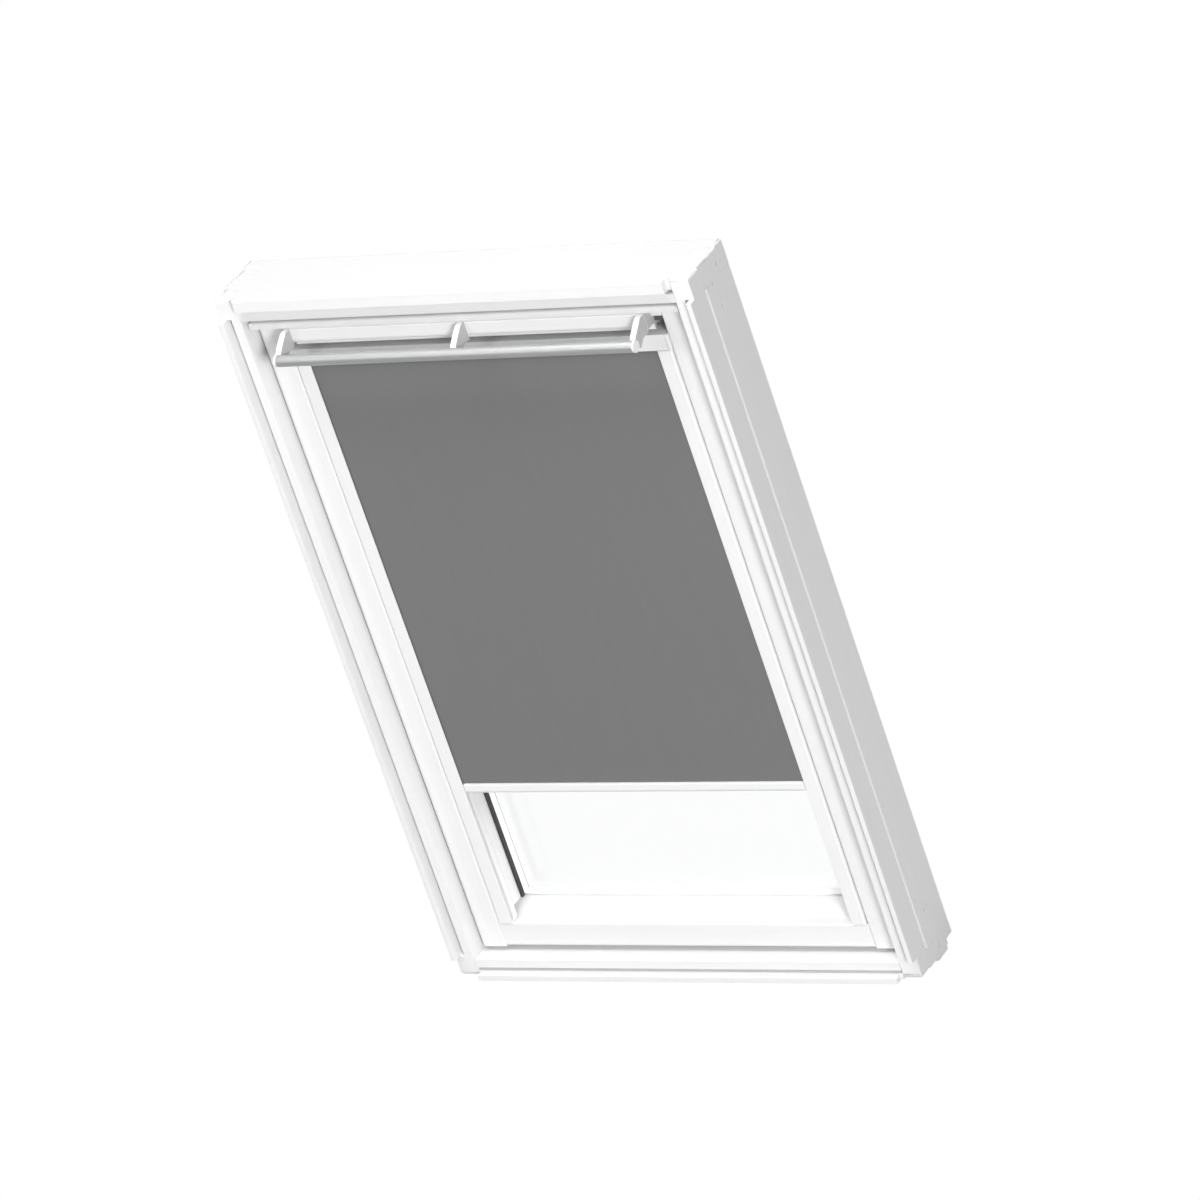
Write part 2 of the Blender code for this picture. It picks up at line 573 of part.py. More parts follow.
def sash_stile(side, sash_pivot):
    name = "sash_stile_" + side_name(side)
    rebate = SIGHT_HALF + GLASS_REBATE
    outline = [
        (SASH_HALF, SASH_FRONT + SASH_EDGE_ROUND), (SASH_HALF, SASH_BACK), (rebate, SASH_BACK),
        (rebate, GLASS_FACE), (SIGHT_HALF, GLASS_FACE), (SIGHT_HALF, LEDGE_BACK), (STILE_INNER, LEDGE_BACK),
        (STILE_INNER, SASH_FRONT)]
    corner_steps = 4
    for i in range(corner_steps):
        angle = math.pi / 2 * i / corner_steps
        outline.append((SASH_HALF - SASH_EDGE_ROUND * (1 - math.sin(angle)),
                        SASH_FRONT + SASH_EDGE_ROUND * (1 - math.cos(angle))))
    mesh = upright_mesh(name, flip(side, outline), (SASH_BOTTOM, SASH_TOP))
    stile = add_object(name, mesh, "white_lacquer", parts, sash_pivot)
    ends = ordered(side * (SIGHT_HALF - CUT_SPARE), side * STILE_INNER)
    behind = (LEDGE_BACK - CUT_SPARE, SASH_BACK + CUT_SPARE)
    cut_box(stile, ends, behind, (SASH_BOTTOM - CUT_SPARE, SIGHT_BOTTOM + SEAT_GAP))
    cut_box(stile, ends, behind, (SIGHT_TOP - SEAT_GAP, SASH_TOP + CUT_SPARE))
    pocket = ordered(side * (SASH_HALF - PIVOT_PLATE_THICKNESS - SEAT_GAP), side * (SASH_HALF + CUT_SPARE))
    half_plate = PIVOT_PLATE_HEIGHT / 2 + SEAT_GAP
    half_width = PIVOT_PLATE_WIDTH / 2 + SEAT_GAP
    cut_box(stile, pocket, (PIVOT_DEPTH - half_width, PIVOT_DEPTH + half_width),
            (PIVOT_Z - half_plate, PIVOT_Z + half_plate))
    return stile


def sash_sill(sash_pivot):
    glass_seat = SIGHT_BOTTOM - GLASS_REBATE
    outline = [
        (SASH_FRONT, LEDGE_Z), (LEDGE_BACK, LEDGE_Z), (GLASS_FACE, SIGHT_BOTTOM), (GLASS_FACE, glass_seat),
        (SASH_BACK, glass_seat), (SASH_BACK, SASH_BOTTOM), (SASH_FRONT + SASH_EDGE_ROUND, SASH_BOTTOM)]
    corner_steps = 4
    for i in range(1, corner_steps + 1):
        angle = math.pi / 2 * i / corner_steps
        outline.append((SASH_FRONT + SASH_EDGE_ROUND * (1 - math.sin(angle)),
                        SASH_BOTTOM + SASH_EDGE_ROUND * (1 - math.cos(angle))))
    half = STILE_INNER - JOINT_GAP
    mesh = across_mesh("sash_sill", outline, (-half, half))
    return add_object("sash_sill", mesh, "white_lacquer", parts, sash_pivot)


def vent_slots():
    """The x range and z range of each slot through which the open flap lets air in."""
    middle = SIGHT_TOP + VENT_SLOT_RISE
    slots = []
    for i in range(VENT_SLOTS):
        centre = (i - (VENT_SLOTS - 1) / 2) * (VENT_SLOT_LENGTH + VENT_SLOT_BRIDGE)
        across = (centre - VENT_SLOT_LENGTH / 2, centre + VENT_SLOT_LENGTH / 2)
        slots.append((across, (middle - VENT_SLOT_HEIGHT / 2, middle + VENT_SLOT_HEIGHT / 2)))
    return slots


def sash_head(sash_pivot):
    glass_seat = SIGHT_TOP + GLASS_REBATE
    outline = [
        (SASH_FRONT, STRIP_BOTTOM), (SASH_FRONT, SASH_TOP), (SASH_BACK, SASH_TOP), (SASH_BACK, glass_seat),
        (GLASS_FACE, glass_seat), (GLASS_FACE, SIGHT_TOP), (WALL_FRONT, SIGHT_TOP),
        (WALL_FRONT, STRIP_BOTTOM)]
    half = STILE_INNER - JOINT_GAP
    mesh = across_mesh("sash_head", outline[::-1], (-half, half))
    head = add_object("sash_head", mesh, "white_lacquer", parts, sash_pivot)
    for slot_x, slot_z in vent_slots():
        cut_box(head, slot_x, (WALL_FRONT - CUT_SPARE, SASH_BACK + CUT_SPARE), slot_z)
    claw_room = CLAW_HALF_WIDTH + CLAW_SIDE_GAP
    claw_depths = (CLAW_AXIS_DEPTH - CLAW_SWEEP, CLAW_AXIS_DEPTH + CLAW_THICKNESS - CLAW_SIDE_GAP)
    cut_box(head, (-claw_room, claw_room), claw_depths, (STRIP_BOTTOM - CUT_SPARE, SASH_TOP + CUT_SPARE))
    return head


def glazing(sash_pivot):
    half = SIGHT_HALF + GLASS_REBATE - PANE_EDGE_GAP
    low = SIGHT_BOTTOM - GLASS_REBATE + PANE_EDGE_GAP
    high = SIGHT_TOP + GLASS_REBATE - PANE_EDGE_GAP
    inner_front = GLASS_FACE + PANE_FACE_GAP
    inner_back = inner_front + PANE_THICKNESS
    outer_back = SASH_BACK - SEAT_GAP
    outer_front = outer_back - PANE_THICKNESS
    width = (-half, half)
    height = (low, high)
    add_object("inner_pane", box_mesh("inner_pane", width, (inner_front, inner_back), height),
               "clear_glass", parts, sash_pivot)
    add_object("outer_pane", box_mesh("outer_pane", width, (outer_front, outer_back), height),
               "clear_glass", parts, sash_pivot)
    edge = (half - SPACER_INSET, low + SPACER_INSET, high - SPACER_INSET)
    hole = (edge[0] - SPACER_WIDTH, edge[1] + SPACER_WIDTH, edge[2] - SPACER_WIDTH)
    between = (inner_back + SEAT_GAP, outer_front - SEAT_GAP)
    spacer = facing_ring_mesh("glass_spacer", edge, hole, between)
    add_object("glass_spacer", spacer, "spacer_steel", parts, sash_pivot)
    seal = (SIGHT_HALF - SEAT_GAP, SIGHT_BOTTOM + SEAT_GAP, SIGHT_TOP - SEAT_GAP)
    sight = (seal[0] - GASKET_WIDTH, seal[1] + GASKET_WIDTH / 2, seal[2] - GASKET_WIDTH)
    gasket_back = inner_front - SEAT_GAP
    gasket_depths = (gasket_back - GASKET_DEPTH, gasket_back)
    gasket = facing_ring_mesh("glazing_gasket", seal, sight, gasket_depths)
    add_object("glazing_gasket", gasket, "seal_rubber", parts, sash_pivot)


def sash_covers(sash_pivot):
    """Aluminium profiles on the outside of the sash that hold the glass in its rebate."""
    depths = (SASH_BACK + SEAT_GAP, SASH_BACK + SEAT_GAP + SASH_COVER_THICKNESS)
    inner = SIGHT_HALF + GLASS_REBATE - SASH_COVER_OVERLAP
    outer = SASH_HALF - SASH_COVER_INSET
    low = SASH_BOTTOM + 2 * SASH_COVER_INSET
    high = SASH_TOP - 2 * SASH_COVER_INSET
    for side in (-1, 1):
        name = "sash_cover_" + side_name(side)
        mesh = box_mesh(name, ordered(side * inner, side * outer), depths, (low, high))
        soften(add_object(name, mesh, "dark_cover", parts, sash_pivot), COVER_EDGE)
    between = (-inner + SEAT_GAP, inner - SEAT_GAP)
    glass_high = SIGHT_TOP + GLASS_REBATE - SASH_COVER_OVERLAP
    glass_low = SIGHT_BOTTOM - GLASS_REBATE + SASH_COVER_OVERLAP
    head = box_mesh("sash_cover_head", between, depths, (glass_high, high))
    head_cover = add_object("sash_cover_head", head, "dark_cover", parts, sash_pivot)
    for slot_x, slot_z in vent_slots():
        cut_box(head_cover, slot_x, (depths[0] - CUT_SPARE, depths[1] + CUT_SPARE), slot_z)
    sill = box_mesh("sash_cover_sill", between, depths, (low, glass_low))
    soften(add_object("sash_cover_sill", sill, "dark_cover", parts, sash_pivot), COVER_EDGE)


def air_filters(sash_pivot):
    """Foam strips against the vent wall, one on each side of the lock."""
    depths = (WALL_FRONT - SEAT_GAP - FILTER_THICKNESS, WALL_FRONT - SEAT_GAP)
    middle = SIGHT_TOP + VENT_SLOT_RISE
    half_height = VENT_SLOT_HEIGHT / 2 + FILTER_MARGIN
    heights = (middle - half_height, middle + half_height)
    for side in (-1, 1):
        name = "air_filter_" + side_name(side)
        across = ordered(side * (LOCK_HALF_WIDTH + FILTER_MARGIN), side * (SIGHT_HALF - FILTER_MARGIN))
        add_object(name, box_mesh(name, across, depths, heights), "filter_foam", parts, sash_pivot)


def lock(sash_pivot, claw_pivot):
    """The lock case behind the flap, and the claw that turns in it and rises through the sash head."""
    case_x = (-LOCK_HALF_WIDTH, LOCK_HALF_WIDTH)
    case_depth = (CLAW_AXIS_DEPTH - LOCK_FRONT, WALL_FRONT - SEAT_GAP)
    case_z = (CASING_TOP + SEAT_GAP, STRIP_BOTTOM - SEAT_GAP)
    case_mesh = box_mesh("lock_case", case_x, case_depth, case_z)
    case = add_object("lock_case", case_mesh, "zinc_fitting", parts, sash_pivot)
    room = CLAW_HALF_WIDTH + RUNNING_GAP
    cut_box(case, (-room, room), (case_depth[0] - CUT_SPARE, case_depth[1] - LOCK_WALL),
            (case_z[0] + LOCK_WALL, case_z[1] + CUT_SPARE))
    pin_half = CLAW_HALF_WIDTH + CLAW_PIN_OVERHANG
    bore = (-pin_half - RUNNING_GAP, pin_half + RUNNING_GAP)
    bore_radius = CLAW_PIN_RADIUS + RUNNING_GAP
    boolean(case, rod_mesh("lock_bore", bore, CLAW_AXIS_DEPTH, CLAW_AXIS_Z, bore_radius, 16))
    half = CLAW_THICKNESS / 2
    tip = CLAW_AXIS_Z + CLAW_REACH
    front = CLAW_AXIS_DEPTH - half
    back = CLAW_AXIS_DEPTH + half
    nose = CLAW_AXIS_DEPTH - CLAW_HOOK
    outline = [
        (front, CLAW_AXIS_Z - half), (back, CLAW_AXIS_Z - half), (back, tip - CLAW_HOOK / 2),
        (CLAW_AXIS_DEPTH, tip), (nose, tip), (nose, tip - half), (front + half / 2, tip - CLAW_HOOK),
        (front, CLAW_AXIS_Z + CLAW_HOOK)]
    claw_mesh = across_mesh("latch_claw", outline, (-CLAW_HALF_WIDTH, CLAW_HALF_WIDTH))
    claw = add_object("latch_claw", claw_mesh, "zinc_fitting", parts, claw_pivot)
    pin = rod_mesh("claw_pin", (-pin_half, pin_half), CLAW_AXIS_DEPTH, CLAW_AXIS_Z, CLAW_PIN_RADIUS, 16)
    boolean(claw, pin, "UNION")
    keep_z = (OPENING_TOP - SEAT_GAP - KEEP_THICKNESS, OPENING_TOP - SEAT_GAP)
    keep = box_mesh("latch_keep", (-2 * LOCK_HALF_WIDTH, 2 * LOCK_HALF_WIDTH),
                    (CLAW_AXIS_DEPTH - CLAW_SWEEP, CLAW_AXIS_DEPTH + LOCK_FRONT), keep_z)
    add_object("latch_keep", keep, "zinc_fitting", parts)


def barrel_bolt(sash_pivot, bolt_slide):
    """A small bolt on top of the sash that slides into a hole in the right jamb."""
    z = SASH_TOP + BOLT_RISE
    tip = SASH_HALF - SEAT_GAP
    start = tip - BOLT_LENGTH
    reach = BOLT_RADIUS + BOLT_GUIDE_WALL
    guide_x = (start + 2 * SEAT_GAP + BOLT_KNOB + BOLT_TRAVEL, tip - BOLT_TRAVEL)
    guide_mesh = box_mesh("bolt_guide", guide_x, (BOLT_DEPTH - reach, BOLT_DEPTH + reach),
                          (SASH_TOP + SEAT_GAP, z + reach))
    guide = add_object("bolt_guide", guide_mesh, "zinc_fitting", parts, sash_pivot)
    bore = (guide_x[0] - CUT_SPARE, guide_x[1] + CUT_SPARE)
    boolean(guide, rod_mesh("guide_bore", bore, BOLT_DEPTH, z, BOLT_RADIUS + RUNNING_GAP, 16))
    bolt_mesh = rod_mesh("barrel_bolt", (start, tip), BOLT_DEPTH, z, BOLT_RADIUS, 16)
    bolt = add_object("barrel_bolt", bolt_mesh, "zinc_fitting", parts, bolt_slide)
    knob_x = (start + SEAT_GAP, start + SEAT_GAP + BOLT_KNOB)
    boolean(bolt, rod_mesh("bolt_knob", knob_x, BOLT_DEPTH, z, BOLT_RADIUS + BOLT_KNOB, 16), "UNION")


def vent_flap(sash_pivot, flap_pivot):
    back = SASH_FRONT + FLAP_THICKNESS
    block_low = FLAP_BOTTOM + FLAP_BLOCK_FOOT
    block_back = SASH_FRONT - FLAP_BLOCK_BACK_GAP
    outline = [
        (FLAP_FRONT, block_low), (FLAP_FRONT, FLAP_BLOCK_TOP), (block_back, FLAP_BLOCK_TOP),
        (block_back, FLAP_TOP), (back, FLAP_TOP), (back, FLAP_BOTTOM), (SASH_FRONT, FLAP_BOTTOM),
        (SASH_FRONT, block_low)]
    profile = across_mesh("vent_flap", outline, (-FLAP_HALF_WIDTH, FLAP_HALF_WIDTH))
    flap = add_object("vent_flap", profile, "white_lacquer", parts, flap_pivot)
    reach = STILE_INNER - TRUNNION_END_GAP
    rod = rod_mesh("flap_rod", (-reach, reach), FLAP_AXIS_DEPTH, FLAP_AXIS_Z, TRUNNION_RADIUS, 16)
    boolean(flap, rod, "UNION")
    seal_front = back + SEAT_GAP
    seal_half = FLAP_HALF_WIDTH - FLAP_SEAL_INSET
    seal_low = FLAP_BOTTOM + FLAP_SEAL_INSET
    seal = box_mesh("flap_seal", (-seal_half, seal_half), (seal_front, seal_front + FLAP_SEAL_THICKNESS),
                    (seal_low, seal_low + FLAP_SEAL_HEIGHT))
    add_object("flap_seal", seal, "seal_rubber", parts, flap_pivot)
    half_block = PIVOT_BLOCK_SIZE / 2
    for side in (-1, 1):
        name = "flap_bearing_" + side_name(side)
        block_x = ordered(side * (FLAP_HALF_WIDTH + BEARING_GAP), side * (STILE_INNER - SEAT_GAP))
        block = box_mesh(name, block_x, (FLAP_AXIS_DEPTH - half_block, FLAP_AXIS_DEPTH + half_block),
                         (FLAP_AXIS_Z - half_block, STRIP_BOTTOM - SEAT_GAP))
        bearing = add_object(name, block, "glide_plastic", parts, sash_pivot)
        bore = (block_x[0] - CUT_SPARE, block_x[1] + CUT_SPARE)
        boolean(bearing, rod_mesh(name + "_bore", bore, FLAP_AXIS_DEPTH, FLAP_AXIS_Z,
                                  TRUNNION_RADIUS + RUNNING_GAP, 16))


def head_bead(sash_pivot):
    """The bead across the head of the sash, above the flap."""
    reach = SASH_HALF - HEAD_BEAD_INSET
    low = FLAP_BLOCK_TOP + FLAP_GAP
    mesh = box_mesh("head_bead", (-reach, reach), (FLAP_FRONT, SASH_FRONT - SEAT_GAP),
                    (low, low + HEAD_BEAD_HEIGHT))
    add_object("head_bead", mesh, "white_lacquer", parts, sash_pivot)


def bracket_outline():
    """Side view of a bracket: a foot on the flap, and an arm that ends in the seat of the bar."""
    foot = FLAP_FRONT - SEAT_GAP
    return [(foot - out, FLAP_BLOCK_TOP + rise) for out, rise in BRACKET_TOP + BRACKET_UNDERSIDE]


def control_bar(flap_pivot):
    for label, place in (("left", -1), ("middle", 0), ("right", 1)):
        name = "bar_bracket_" + label
        centre = place * BRACKET_SPACING
        across = (centre - BRACKET_WIDTH / 2, centre + BRACKET_WIDTH / 2)
        bracket_mesh = across_mesh(name, bracket_outline(), across)
        bracket = add_object(name, bracket_mesh, "white_plastic", parts, flap_pivot)
        bore = (across[0] - CUT_SPARE, across[1] + CUT_SPARE)
        boolean(bracket, rod_mesh(name + "_bore", bore, BAR_DEPTH, BAR_Z, BAR_RADIUS + RUNNING_GAP))
    reach = FLAP_HALF_WIDTH - BAR_CAP
    bar = rod_mesh("control_bar", (-reach, reach), BAR_DEPTH, BAR_Z, BAR_RADIUS)
    add_object("control_bar", bar, "anodised_bar", parts, flap_pivot)
    for side in (-1, 1):
        name = "bar_cap_" + side_name(side)
        cap_x = ordered(side * (reach + SEAT_GAP), side * (reach + BAR_CAP))
        cap = rod_mesh(name, cap_x, BAR_DEPTH, BAR_Z, BAR_RADIUS)
        add_object(name, cap, "white_plastic", parts, flap_pivot)


def blind_rails(sash_pivot):
    for side in (-1, 1):
        name = "blind_rail_" + side_name(side)
        outline = [
            (RAIL_OUTER, RAIL_FRONT), (RAIL_OUTER, RAIL_BACK), (RAIL_INNER, RAIL_BACK),
            (RAIL_INNER, SLOT_BACK), (SLOT_END, SLOT_BACK), (SLOT_END, SLOT_FRONT),
            (RAIL_INNER, SLOT_FRONT), (RAIL_INNER, RAIL_FRONT)]
        mesh = upright_mesh(name, flip(side, outline), (LEDGE_Z + SEAT_GAP, CASING_BOTTOM - SEAT_GAP))
        add_object(name, mesh, "white_plastic", parts, sash_pivot)
        stop_name = "rail_stop_" + side_name(side)
        stop_x = ordered(side * (RAIL_INNER + SEAT_GAP), side * (SLOT_END - SEAT_GAP))
        stop = box_mesh(stop_name, stop_x, (SLOT_FRONT + SEAT_GAP, SLOT_BACK - SEAT_GAP),
                        (LEDGE_Z + SEAT_GAP, LEDGE_Z + STOP_HEIGHT))
        add_object(stop_name, stop, "white_plastic", parts, sash_pivot)


def blind_casing(sash_pivot):
    front = RAIL_FRONT
    back = RAIL_FRONT + CASING_THICKNESS
    inner_front = front + CASING_WALL
    inner_back = back - CASING_WALL
    mouth = inner_front + CASING_MOUTH
    floor = CASING_BOTTOM + CASING_WALL
    ceiling = CASING_TOP - CASING_WALL
    outline = [
        (front, CASING_BOTTOM), (front, CASING_TOP), (back, CASING_TOP), (back, CASING_BOTTOM),
        (mouth, CASING_BOTTOM), (mouth, floor), (inner_back, floor), (inner_back, ceiling),
        (inner_front, ceiling), (inner_front, CASING_BOTTOM)]
    half = CASING_HALF
    mesh = across_mesh("blind_casing", outline[::-1], (-half, half))
    add_object("blind_casing", mesh, "white_plastic", parts, sash_pivot)
    for side in (-1, 1):
        name = "casing_cap_" + side_name(side)
        cap_x = ordered(side * (half + SEAT_GAP), side * CASING_OUTER)
        cap_mesh = box_mesh(name, cap_x, (front, back), (CASING_BOTTOM, CASING_TOP))
        cap = add_object(name, cap_mesh, "white_plastic", parts, sash_pivot)
        bore = ordered(side * (half - CUT_SPARE), side * (CASING_OUTER - CASING_WALL))
        boolean(cap, rod_mesh(name + "_bore", bore, ROLL_DEPTH, ROLL_Z, SPINDLE_RADIUS + RUNNING_GAP, 16))


def roller(roller_pivot):
    """The tube, its two end plugs with their spindle ends, and the cloth wound on it."""
    half = ROLLER_HALF
    inside = TUBE_RADIUS - TUBE_WALL
    sleeve = ring_mesh("roller_tube", (-half, half), ROLL_DEPTH, ROLL_Z, TUBE_RADIUS, inside)
    add_object("roller_tube", sleeve, "anodised_bar", parts, roller_pivot)
    wraps = ring_mesh("cloth_wraps", (-CLOTH_HALF, CLOTH_HALF), ROLL_DEPTH, ROLL_Z, ROLL_RADIUS,
                      TUBE_RADIUS + SEAT_GAP, 32)
    add_object("cloth_wraps", wraps, "blind_fabric", parts, roller_pivot)
    for side in (-1, 1):
        name = "roller_plug_" + side_name(side)
        plug_x = ordered(side * (half - PLUG_DEPTH), side * (half + PLUG_FLANGE))
        body = rod_mesh(name, plug_x, ROLL_DEPTH, ROLL_Z, inside - SEAT_GAP)
        plug = add_object(name, body, "white_plastic", parts, roller_pivot)
        flange_x = ordered(side * (half + SEAT_GAP), side * (half + SEAT_GAP + PLUG_FLANGE))
        boolean(plug, rod_mesh(name + "_flange", flange_x, ROLL_DEPTH, ROLL_Z, TUBE_RADIUS), "UNION")
        spindle_x = ordered(side * half, side * (CASING_HALF + CASING_CAP / 2))
        spindle = rod_mesh(name + "_spindle", spindle_x, ROLL_DEPTH, ROLL_Z, SPINDLE_RADIUS, 16)
        boolean(plug, spindle, "UNION")


def blind_cloth(sash_pivot):
    depths = (CLOTH_DEPTH - CLOTH_THICKNESS / 2, CLOTH_DEPTH + CLOTH_THICKNESS / 2)
    mesh = box_mesh("blind_cloth", (-CLOTH_HALF, CLOTH_HALF), depths, (BAR_TOP + SEAT_GAP, ROLL_Z))
    return add_object("blind_cloth", mesh, "blind_fabric", parts, sash_pivot)


def bottom_bar(bar_slide):
    half = RAIL_INNER - BAR_END_GAP
    front = RAIL_FRONT - BAR_PROUD
    back = front + BAR_THICKNESS
    outline = [
        (front, BAR_BOTTOM + BAR_SLOPE_HEIGHT), (front, BAR_TOP), (back, BAR_TOP), (back, BAR_BOTTOM),
        (front + BAR_SLOPE_DEPTH, BAR_BOTTOM)]
    mesh = across_mesh("bottom_bar", outline, (-half, half))
    soften(add_object("bottom_bar", mesh, "white_lacquer", parts, bar_slide), BAR_EDGE)
    middle = (BAR_TOP + BAR_BOTTOM) / 2
    for side in (-1, 1):
        name = "bar_glide_" + side_name(side)
        glide_x = ordered(side * (half + SEAT_GAP), side * (SLOT_END - 3 * RUNNING_GAP))
        glide = box_mesh(name, glide_x, (SLOT_FRONT + RUNNING_GAP, SLOT_BACK - RUNNING_GAP),
                         (middle - GLIDE_HEIGHT / 2, middle + GLIDE_HEIGHT / 2))
        add_object(name, glide, "white_plastic", parts, bar_slide)


def build():
    sash_pivot = pivot_empty("sash_pivot", at(0, PIVOT_DEPTH, PIVOT_Z), parts)
    flap_pivot = pivot_empty("flap_pivot", at(0, FLAP_AXIS_DEPTH, FLAP_AXIS_Z), parts, sash_pivot)
    claw_pivot = pivot_empty("claw_pivot", at(0, CLAW_AXIS_DEPTH, CLAW_AXIS_Z), parts, sash_pivot)
    bolt_place = at(SASH_HALF, BOLT_DEPTH, SASH_TOP + BOLT_RISE)
    bolt_slide = pivot_empty("bolt_slide", bolt_place, parts, sash_pivot)
    roller_pivot = pivot_empty("roller_pivot", at(0, ROLL_DEPTH, ROLL_Z), parts, sash_pivot)
    bar_slide = pivot_empty("bar_slide", at(0, CLOTH_DEPTH, BAR_TOP), parts, sash_pivot)
    frame_head()
    frame_sill()
    for side in (-1, 1):
        frame_jamb(side)
        sash_stile(side, sash_pivot)
    frame_covers()
    pivot_fittings(sash_pivot)
    sash_head(sash_pivot)
    sash_sill(sash_pivot)
    glazing(sash_pivot)
    sash_covers(sash_pivot)
    air_filters(sash_pivot)
    lock(sash_pivot, claw_pivot)
    barrel_bolt(sash_pivot, bolt_slide)
    vent_flap(sash_pivot, flap_pivot)
    head_bead(sash_pivot)
    control_bar(flap_pivot)
    blind_rails(sash_pivot)
    blind_casing(sash_pivot)
    roller(roller_pivot)
    blind_cloth(sash_pivot)
    bottom_bar(bar_slide)


for leftover in list(bpy.data.objects):
    bpy.data.objects.remove(leftover)
parts = new_collection("roof_window_with_blind")
cutters = new_collection("cutters")
build()
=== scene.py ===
"""Looks of a white centre-pivot roof window with a grey roller blind in its sash.

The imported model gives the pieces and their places. Roundings, screw heads, holes and looks are set
here. Metres; +X across, +Y to the outside, +Z up the window.
"""

import json
import math

import bmesh
import bpy
from mathutils import Matrix, Vector


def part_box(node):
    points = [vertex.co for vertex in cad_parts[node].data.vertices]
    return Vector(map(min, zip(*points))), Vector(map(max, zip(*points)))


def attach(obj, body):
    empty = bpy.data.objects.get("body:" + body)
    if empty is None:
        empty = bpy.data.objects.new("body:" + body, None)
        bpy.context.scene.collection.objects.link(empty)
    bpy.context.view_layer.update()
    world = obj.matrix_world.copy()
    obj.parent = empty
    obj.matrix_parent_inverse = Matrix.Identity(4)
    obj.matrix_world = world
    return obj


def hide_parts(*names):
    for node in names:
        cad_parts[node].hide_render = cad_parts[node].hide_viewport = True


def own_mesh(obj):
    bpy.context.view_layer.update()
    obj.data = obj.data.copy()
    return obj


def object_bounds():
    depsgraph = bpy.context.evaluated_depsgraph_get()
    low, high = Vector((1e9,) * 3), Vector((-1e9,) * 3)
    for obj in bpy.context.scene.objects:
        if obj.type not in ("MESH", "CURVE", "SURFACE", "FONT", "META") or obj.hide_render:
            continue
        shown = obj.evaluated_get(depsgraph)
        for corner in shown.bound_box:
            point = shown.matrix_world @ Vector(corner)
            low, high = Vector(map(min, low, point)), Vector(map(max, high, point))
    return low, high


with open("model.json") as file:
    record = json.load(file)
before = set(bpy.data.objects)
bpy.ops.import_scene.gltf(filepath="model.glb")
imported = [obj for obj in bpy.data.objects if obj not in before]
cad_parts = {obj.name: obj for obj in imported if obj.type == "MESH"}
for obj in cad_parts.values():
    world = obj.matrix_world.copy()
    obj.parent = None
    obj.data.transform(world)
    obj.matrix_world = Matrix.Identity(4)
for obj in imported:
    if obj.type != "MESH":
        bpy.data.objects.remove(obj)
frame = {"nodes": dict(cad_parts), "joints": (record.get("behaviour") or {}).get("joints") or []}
packed_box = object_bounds()

MM = 0.001
SIDES = ("left", "right")

# Camera
CAMERA_PLACE = (5.1512, -6.9818, 4.8159)
CAMERA_RIGHT = Vector((0.848035, 0.440052, -0.295279))
CAMERA_UP = Vector((0.017752, 0.533293, 0.845745))
CAMERA_LENS = 242.28
CAMERA_SENSOR = 36.0
CAMERA_REACH = 200

# Room
FLOOR_SIZE = 30.0
FLOOR_CELLS = 4
FLOOR_DROP = 0.2 * MM
BACKDROP_WHITE = 1.0
SURROUND_EVEN = 0.03
SURROUND_FRONT = 0.3
TOP_POWER = 128
TOP_PLACE = (0, -0.8, 4.2)
KEY_POWER = 597
KEY_PLACE = (7.0, -6.7, 3.1)
SIDE_POWER = 123
SIDE_PLACE = (-3.5, -6.5, 4.5)
LAMP_SIZE = 2.4
LAMP_AIM = (0, 0, 0.5)

# Edges
FRAME_EDGE = 0.8 * MM
JAMB_CORNER = 9 * MM
RAIL_CORNER = 4 * MM
FINGER_EDGE = 1.5 * MM
CORNER_STEPS = 6
SHORTEST_ROUNDED = 2.2 * MM
LIP_PROUD = 10.5 * MM
SASH_EDGE = 1.0 * MM
STILE_ROUND = 6 * MM
STILE_INNER_ROUND = 3 * MM
SILL_ROUND = 2 * MM
SILL_INNER_ROUND = 1.5 * MM
BEAD_ROUND = 4 * MM
RAIL_ROUND = 2 * MM
RAIL_EDGE = 1.1 * MM
LONG_EDGE = 0.3
FLAP_EDGE = 1.6 * MM
FLAP_FOOT_ROUND = 7 * MM
FLAP_TOP_ROUND = 3 * MM
MOULDED_EDGE = 0.7 * MM
FITTING_EDGE = 0.4 * MM
BRACKET_EDGE = 1.4 * MM
BRACKET_STEPS = 3
EDGE_ANGLE = math.radians(35)
CREASE_ANGLE = math.radians(50)
FLAT_ANGLE = math.radians(0.5)
WELD_REACH = 0.005 * MM
ALONG_SHARE = 0.9

# Finishes
# Grey painted on faces that look along the width: painted shade on the bracket sides, grey end caps
# with painted shade on the flap ends.
END_GREY_AND_SHADE = (0.5, 0.5, 0.505)
END_FACE = 0.9
GRAIN_UPRIGHT = (3, 3, 0.12)
GRAIN_ACROSS = (0.12, 3, 3)
DRAWN_ACROSS = (0.01, 1, 1)
SLUB_UPRIGHT = (1, 1, 0.08)
WEAVE_PITCH = 1.1 * MM

# Fasteners and perforations
COVER_SCREW = {"Radius": 3.5 * MM, "Height": 1.4 * MM, "Slot Width": 0.9 * MM}
PLATE_SCREW = {"Radius": 2.6 * MM, "Height": 0.6 * MM, "Slot Width": 0.7 * MM}
SCREW_SIDES = 24
SCREW_CROWN = 0.72
SLOT_REACH = 1.1
SCREW_END_MARGIN = 60 * MM
PLATE_SCREW_REACH = 20 * MM
KEEP_SCREW_REACH = 18 * MM
LOCK_SCREW_REACH = 8.2 * MM
PERFORATION = {"Radius": 0.45 * MM, "Height": 0.06 * MM, "Pitch": 6 * MM}
PERFORATION_SIDES = 6
PERFORATION_ROW = 1.6 * MM
PERFORATION_MARGIN = 12 * MM

